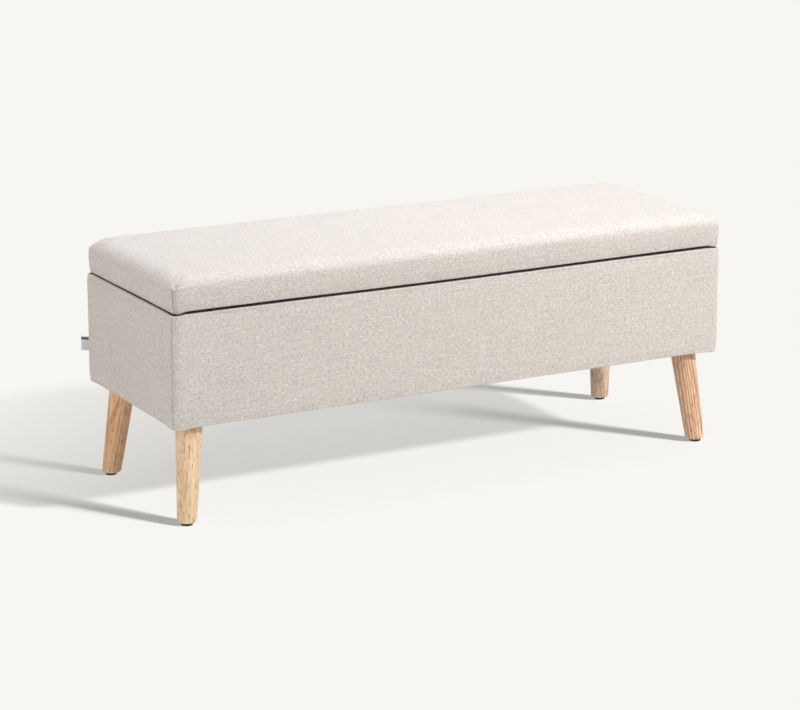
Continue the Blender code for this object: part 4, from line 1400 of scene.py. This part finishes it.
def turned_legs():
    """The four turned legs: round at the top edge, softly rounded at the foot."""
    for number, corner in enumerate(CORNERS):
        foot, top, direction, foot_radius, top_radius = leg_line(corner)
        length = (top - foot).length
        foot_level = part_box(corner + "_leg")[0].z
        spin = Vector((0, 0, 1)).rotation_difference(direction).to_matrix()
        profile = []
        for step in range(6):
            angle = math.pi / 2 * step / 5
            profile.append((-FOOT_ROUND * (1 - math.sin(angle)), FOOT_ROUND * (1 - math.cos(angle))))
        for step in range(1, LEG_ROWS):
            profile.append((0.0, FOOT_ROUND + (length - FOOT_ROUND - 0.0022) * step / LEG_ROWS))
        rows = []
        for change, along in profile:
            share = along / length
            radius = foot_radius + (top_radius - foot_radius) * share + change
            centre = foot + direction * along
            ring = []
            for step in range(LEG_STEPS):
                angle = 2 * math.pi * step / LEG_STEPS
                flat = Vector((radius * math.cos(angle), radius * math.sin(angle), 0))
                turned = spin @ flat
                weight = float(smooth(np.array(along), FOOT_ROUND, 0.03))
                place = centre + flat.lerp(turned, weight)
                if along <= FOOT_ROUND:
                    place.z = foot_level + along
                ring.append(place)
            rows.append(ring)
        for radius_change, back in ((0.0, 0.0018), (-0.0005, 0.0006), (-0.0016, 0.0)):
            ring = []
            centre = top - direction * back
            for step in range(LEG_STEPS):
                angle = 2 * math.pi * step / LEG_STEPS
                radius = top_radius + radius_change
                across = Vector((radius * math.cos(angle), radius * math.sin(angle), 0))
                ring.append(centre + spin @ across)
            rows.append(ring)
        body = bmesh.new()
        loops = [[body.verts.new(place) for place in ring] for ring in rows]
        for first, second in zip(loops, loops[1:]):
            for k in range(LEG_STEPS):
                n = (k + 1) % LEG_STEPS
                body.faces.new((first[k], first[n], second[n], second[k]))
        cap_with_rings(body, loops[0], True)
        cap_with_rings(body, loops[-1], False)
        origin = top - direction * (0.45 + 0.61 * number)
        turn = spin.to_4x4() @ Matrix.Rotation(math.radians(50 + 77 * number), 4, "Z")
        place = Matrix.Translation(origin) @ turn
        body.transform(place.inverted())
        leg = bmesh_piece(corner + "_turned_leg", body, True)
        leg.matrix_world = place
        finish_piece(leg, "box", OAKS[corner], [corner + "_leg"])


def cap_with_rings(body, ring, reverse):
    """Close a round end with smaller rings and a fan."""
    centre = sum((vertex.co for vertex in ring), Vector()) / len(ring)
    previous = ring
    for share in (0.7, 0.35):
        inner = [body.verts.new(centre.lerp(vertex.co, share)) for vertex in ring]
        for k in range(len(ring)):
            n = (k + 1) % len(ring)
            face = (previous[k], previous[n], inner[n], inner[k])
            body.faces.new(face[::-1] if reverse else face)
        previous = inner
    middle = body.verts.new(centre)
    for k in range(len(ring)):
        n = (k + 1) % len(ring)
        face = (previous[k], previous[n], middle)
        body.faces.new(face[::-1] if reverse else face)


def glides():
    """Moulded pads with a soft edge under the legs."""
    for corner in CORNERS:
        low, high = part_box(corner + "_glide")
        centre = (low + high) / 2
        radius = (high.x - low.x) / 2
        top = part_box(corner + "_leg")[0].z - 0.0002
        profile = [(0.0001, 0.0002), (radius * 0.55, 0.0002), (radius * 0.80, 0.0)]
        for step in range(6):
            angle = math.pi / 2 * step / 5
            profile.append((radius - 0.0018 + 0.0018 * math.sin(angle), 0.0018 * (1 - math.cos(angle))))
        profile += [(radius, top - 0.0012), (radius - 0.0003, top - 0.0004)]
        profile += [(radius - 0.0010, top), (0.0001, top)]
        body = bmesh.new()
        rings = []
        for r, z in profile:
            ring = []
            for step in range(48):
                angle = 2 * math.pi * step / 48
                x, y = centre.x + r * math.cos(angle), centre.y + r * math.sin(angle)
                ring.append(body.verts.new((x, y, z)))
            rings.append(ring)
        for first, second in zip(rings, rings[1:]):
            for k in range(48):
                n = (k + 1) % 48
                body.faces.new((first[k], first[n], second[n], second[k]))
        body.faces.new(reversed(rings[0]))
        body.faces.new(rings[-1])
        pad = bmesh_piece(corner + "_foot_glide", body, True)
        finish_piece(pad, "box", PLASTIC, [corner + "_glide"])


def side_tag():
    """A small folded tag caught in the back left seam, curling slightly."""
    low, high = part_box("label_tag")
    root = Vector((high.x, low.y, 0))
    tip = Vector((low.x, high.y, 0))
    outward = (tip - root).normalized()
    sideways = Vector((outward.y, -outward.x, 0))
    length = (tip - root).length
    path = []
    half = 0.0006
    for step in range(13):
        path.append((length * step / 12 - 0.0015 * (1 - step / 12), half))
    for step in range(1, 6):
        angle = math.pi / 2 - math.pi * step / 6
        path.append((length + half * math.cos(angle), half * math.sin(angle)))
    for step in range(12, -1, -1):
        path.append((length * step / 12 - 0.0015 * (1 - step / 12), -half))
    body = bmesh.new()
    rows = 18
    grid = []
    for row in range(rows + 1):
        z = low.z + (high.z - low.z) * row / rows
        ring = []
        for along, side in path:
            curl = 0.0012 * (along / length) ** 2 * math.sin(2.2 * row / rows + 0.4)
            place = root + outward * along + sideways * (side + curl)
            ring.append(body.verts.new(place + Vector((0, 0, z))))
        grid.append(ring)
    for first, second in zip(grid, grid[1:]):
        for k in range(len(path)):
            n = (k + 1) % len(path)
            body.faces.new((first[k], first[n], second[n], second[k]))
    body.faces.new(reversed(grid[0]))
    body.faces.new(grid[-1])
    tag = bmesh_piece("side_tag", body, True)
    layer = tag.data.uv_layers.new(name=CLOTH_UV)
    for loop in tag.data.loops:
        place = tag.data.vertices[loop.vertex_index].co
        layer.data[loop.index].uv = (place.x - place.y, place.z)
    finish_piece(tag, "box", TAG_CLOTH, ["label_tag"])


# Making it all --------------------------------------------------------------------------------


def keep_node(name, look):
    """Show a CAD node with a finished material."""
    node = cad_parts[name]
    for slot_entry in node.material_slots:
        slot_entry.material = look
    if not node.material_slots:
        node.data.materials.append(look)


lid_layout = lid_cap()
lid_foam()
box_sleeve()
box_stitches()
lid_stitches(lid_layout)
storage_lining()
# A dark sheet on the rim: painted shade in the gap under the lid.
rim_shade_tape()
sheet_piece(
    "lid_under_lining", LID_LINING_HIGH.x + 0.004, LID_LINING_HIGH.y + 0.004, 0.008,
    LID_BOTTOM + 0.0006, BOARD_BOTTOM - 0.0004, 0.0006, "lid", "lid_lining",
)
sheet_piece(
    "dust_sheet", DUST_HIGH.x, DUST_HIGH.y, 0.006,
    DUST_LOW.z, DUST_HIGH.z, 0.0012, "box", "dust_cover",
)
lining_staples()
hinge_screws()
stay_screws()
plate_screws()
turned_legs()
glides()
side_tag()

for node_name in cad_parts:
    if "bolt" in node_name:
        keep_node(node_name, BOLT)
    elif "plate" in node_name:
        keep_node(node_name, BLACK_STEEL)
    elif "hinge" in node_name or "stay" in node_name:
        keep_node(node_name, ZINC)
    elif "bumper" in node_name:
        keep_node(node_name, PLASTIC)
    elif "panel" in node_name or "block" in node_name or "board" in node_name:
        keep_node(node_name, BOARD)


# Floor, light and camera ----------------------------------------------------------------------


KEY_DIRECTION = Vector((0.97, -1.32, 1.0)).normalized()


FLOOR_TINT = (1.0, 0.991, 0.963)
FLOOR_SHARE = 0.25
FLOOR_LIT = 0.5875
FLOOR_GLOW = 0.3405
SHADOW_WAY = Vector((-0.592, 0.806))


def floor():
    """A plain pale floor that fills the view.

    It glows a little: painted light on top of what the lamps give it. Towards the back left it
    reflects less and glows more: painted light that fades out the long shadow of the seat.
    """
    reach = 30.0
    lines = np.linspace(-reach, reach, 9)
    points = [(x, y, 0.0) for x in lines for y in lines]
    faces = []
    for i in range(8):
        for j in range(8):
            faces.append((i * 9 + j, (i + 1) * 9 + j, (i + 1) * 9 + j + 1, i * 9 + j + 1))
    piece = mesh_object("floor", points, faces)
    nodes = Nodes("floor", 0.95, specular=0.0)
    split = nodes.axes(nodes.object_place())
    start = -SHADOW_WAY.dot(Vector((-HALF_X, -HALF_Y)))
    along = nodes.times_plus(split[0], SHADOW_WAY.x, start)
    along = nodes.times_plus(split[1], SHADOW_WAY.y, along)
    stops = (0.20, 0.85)
    lit = [tuple(FLOOR_SHARE * share * tint for tint in FLOOR_TINT) for share in (1.0, 0.15)]
    strengths = (FLOOR_GLOW, FLOOR_GLOW + FLOOR_LIT * 0.85)
    glow = [tuple(strength * tint for tint in FLOOR_TINT) for strength in strengths]
    # Painted light: along the shadow's way the floor's colour darkens and its glow rises, fading the
    # seat's shadow out.
    painted_shadow_fade = nodes.spread(along, *stops, 0.0, 1.0)
    colour = nodes.blend(painted_shadow_fade, (*lit[0], 1.0), (*lit[1], 1.0))
    painted_glow = nodes.blend(painted_shadow_fade, (*glow[0], 1.0), (*glow[1], 1.0))
    nodes.feed(nodes.shader.inputs["Emission Color"], painted_glow)
    nodes.shader.inputs["Emission Strength"].default_value = 1.0
    piece.data.materials.append(nodes.finish(colour))
    piece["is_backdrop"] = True
    return piece


def group_of(name, pieces):
    """A collection of some pieces, for a lamp that falls on them or is blocked by them alone."""
    group = bpy.data.collections.new(name)
    for piece in pieces:
        group.objects.link(piece)
    return group


def lamp(name, kind, energy, place, aim=(0, 0, 0.3), **settings):
    """A light at a place, turned towards a point."""
    data = bpy.data.lights.new(name, kind)
    data.energy = energy
    for key, value in settings.items():
        setattr(data, key, value)
    result = bpy.data.objects.new(name, data)
    result.location = place
    result.rotation_euler = (Vector(place) - Vector(aim)).to_track_quat("Z", "Y").to_euler()
    bpy.context.scene.collection.objects.link(result)
    return result


WORLD_COLOUR = (1.0, 0.995, 0.985, 1.0)
WORLD_LIGHT = 0.27
KEY_WATTS = 92.5
OVERHEAD_WATTS = 75.0
FILL_WATTS = 28.5
KEY_COLOUR = (1.0, 0.988, 0.975)
OVERHEAD_COLOUR = (0.958, 0.993, 1.03)
OVERHEAD_PLACE = (0.35, 0.2, 2.6)
FILL_PLACE = (-3.0, -0.75, 1.2)
FLOOR_SUN = 6.5
FLOOR_SUN_WIDTH = math.radians(4.5)
FLOOR_LOW_SUN = 10.2
FLOOR_LOW_WIDTH = math.radians(11)
FLOOR_LOW_RISE = 0.325
VIEW_PLACE = (-2.44301, -4.42312, 1.54228)
VIEW_DOWN = 14.827
VIEW_TURN = 28.7134
VIEW_LENS = 122.08


def lights(ground):
    """Soft studio light on the object: an overhead box, a small key and a fill from the left.

    The floor has two suns of its own, both from the key's side. Only the legs and glides block the
    low one, which draws their long shadows.
    """
    world = bpy.data.worlds.new("studio")
    bpy.context.scene.world = world
    world.use_nodes = True
    background = world.node_tree.nodes["Background"]
    background.inputs["Color"].default_value = WORLD_COLOUR
    background.inputs["Strength"].default_value = WORLD_LIGHT

    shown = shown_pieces()
    key = lamp("key", "AREA", KEY_WATTS, KEY_DIRECTION * 4.0, shape="DISK", size=0.35, color=KEY_COLOUR)
    box = {"shape": "RECTANGLE", "size": 3.4, "size_y": 2.0, "color": OVERHEAD_COLOUR}
    overhead = lamp("overhead", "AREA", OVERHEAD_WATTS, OVERHEAD_PLACE, (0.1, 0.1, 0.4), **box)
    box = {"shape": "RECTANGLE", "size": 1.5, "size_y": 1.3}
    fill = lamp("fill", "AREA", FILL_WATTS, FILL_PLACE, (-0.4, 0, 0.3), **box)
    for light in (key, overhead, fill):
        light.light_linking.receiver_collection = group_of(light.name + "_lit", shown)

    sun = lamp("floor_key", "SUN", FLOOR_SUN, KEY_DIRECTION * 5.0, (0, 0, 0), angle=FLOOR_SUN_WIDTH)
    low = Vector((KEY_DIRECTION.x, KEY_DIRECTION.y, 0)).normalized() + Vector((0, 0, FLOOR_LOW_RISE))
    low_sun = lamp("floor_low", "SUN", FLOOR_LOW_SUN, low * 5.0, (0, 0, 0), angle=FLOOR_LOW_WIDTH)
    for light in (sun, low_sun):
        light.light_linking.receiver_collection = group_of(light.name + "_lit", [ground])
    feet = [piece for piece in shown if piece.name.endswith(("_turned_leg", "_foot_glide"))]
    low_sun.light_linking.blocker_collection = group_of("floor_low_blocked", feet)


def camera():
    """The view that the seat was photographed from."""
    data = bpy.data.cameras.new("camera")
    data.sensor_width = 36.0
    data.lens = VIEW_LENS
    data.clip_end = 200.0
    view = bpy.data.objects.new("camera", data)
    view.location = VIEW_PLACE
    view.rotation_euler = (math.radians(90 - VIEW_DOWN), 0, math.radians(-VIEW_TURN))
    bpy.context.scene.collection.objects.link(view)
    bpy.context.scene.camera = view


lights(floor())
camera()
bpy.context.scene.view_settings.view_transform = "Standard"
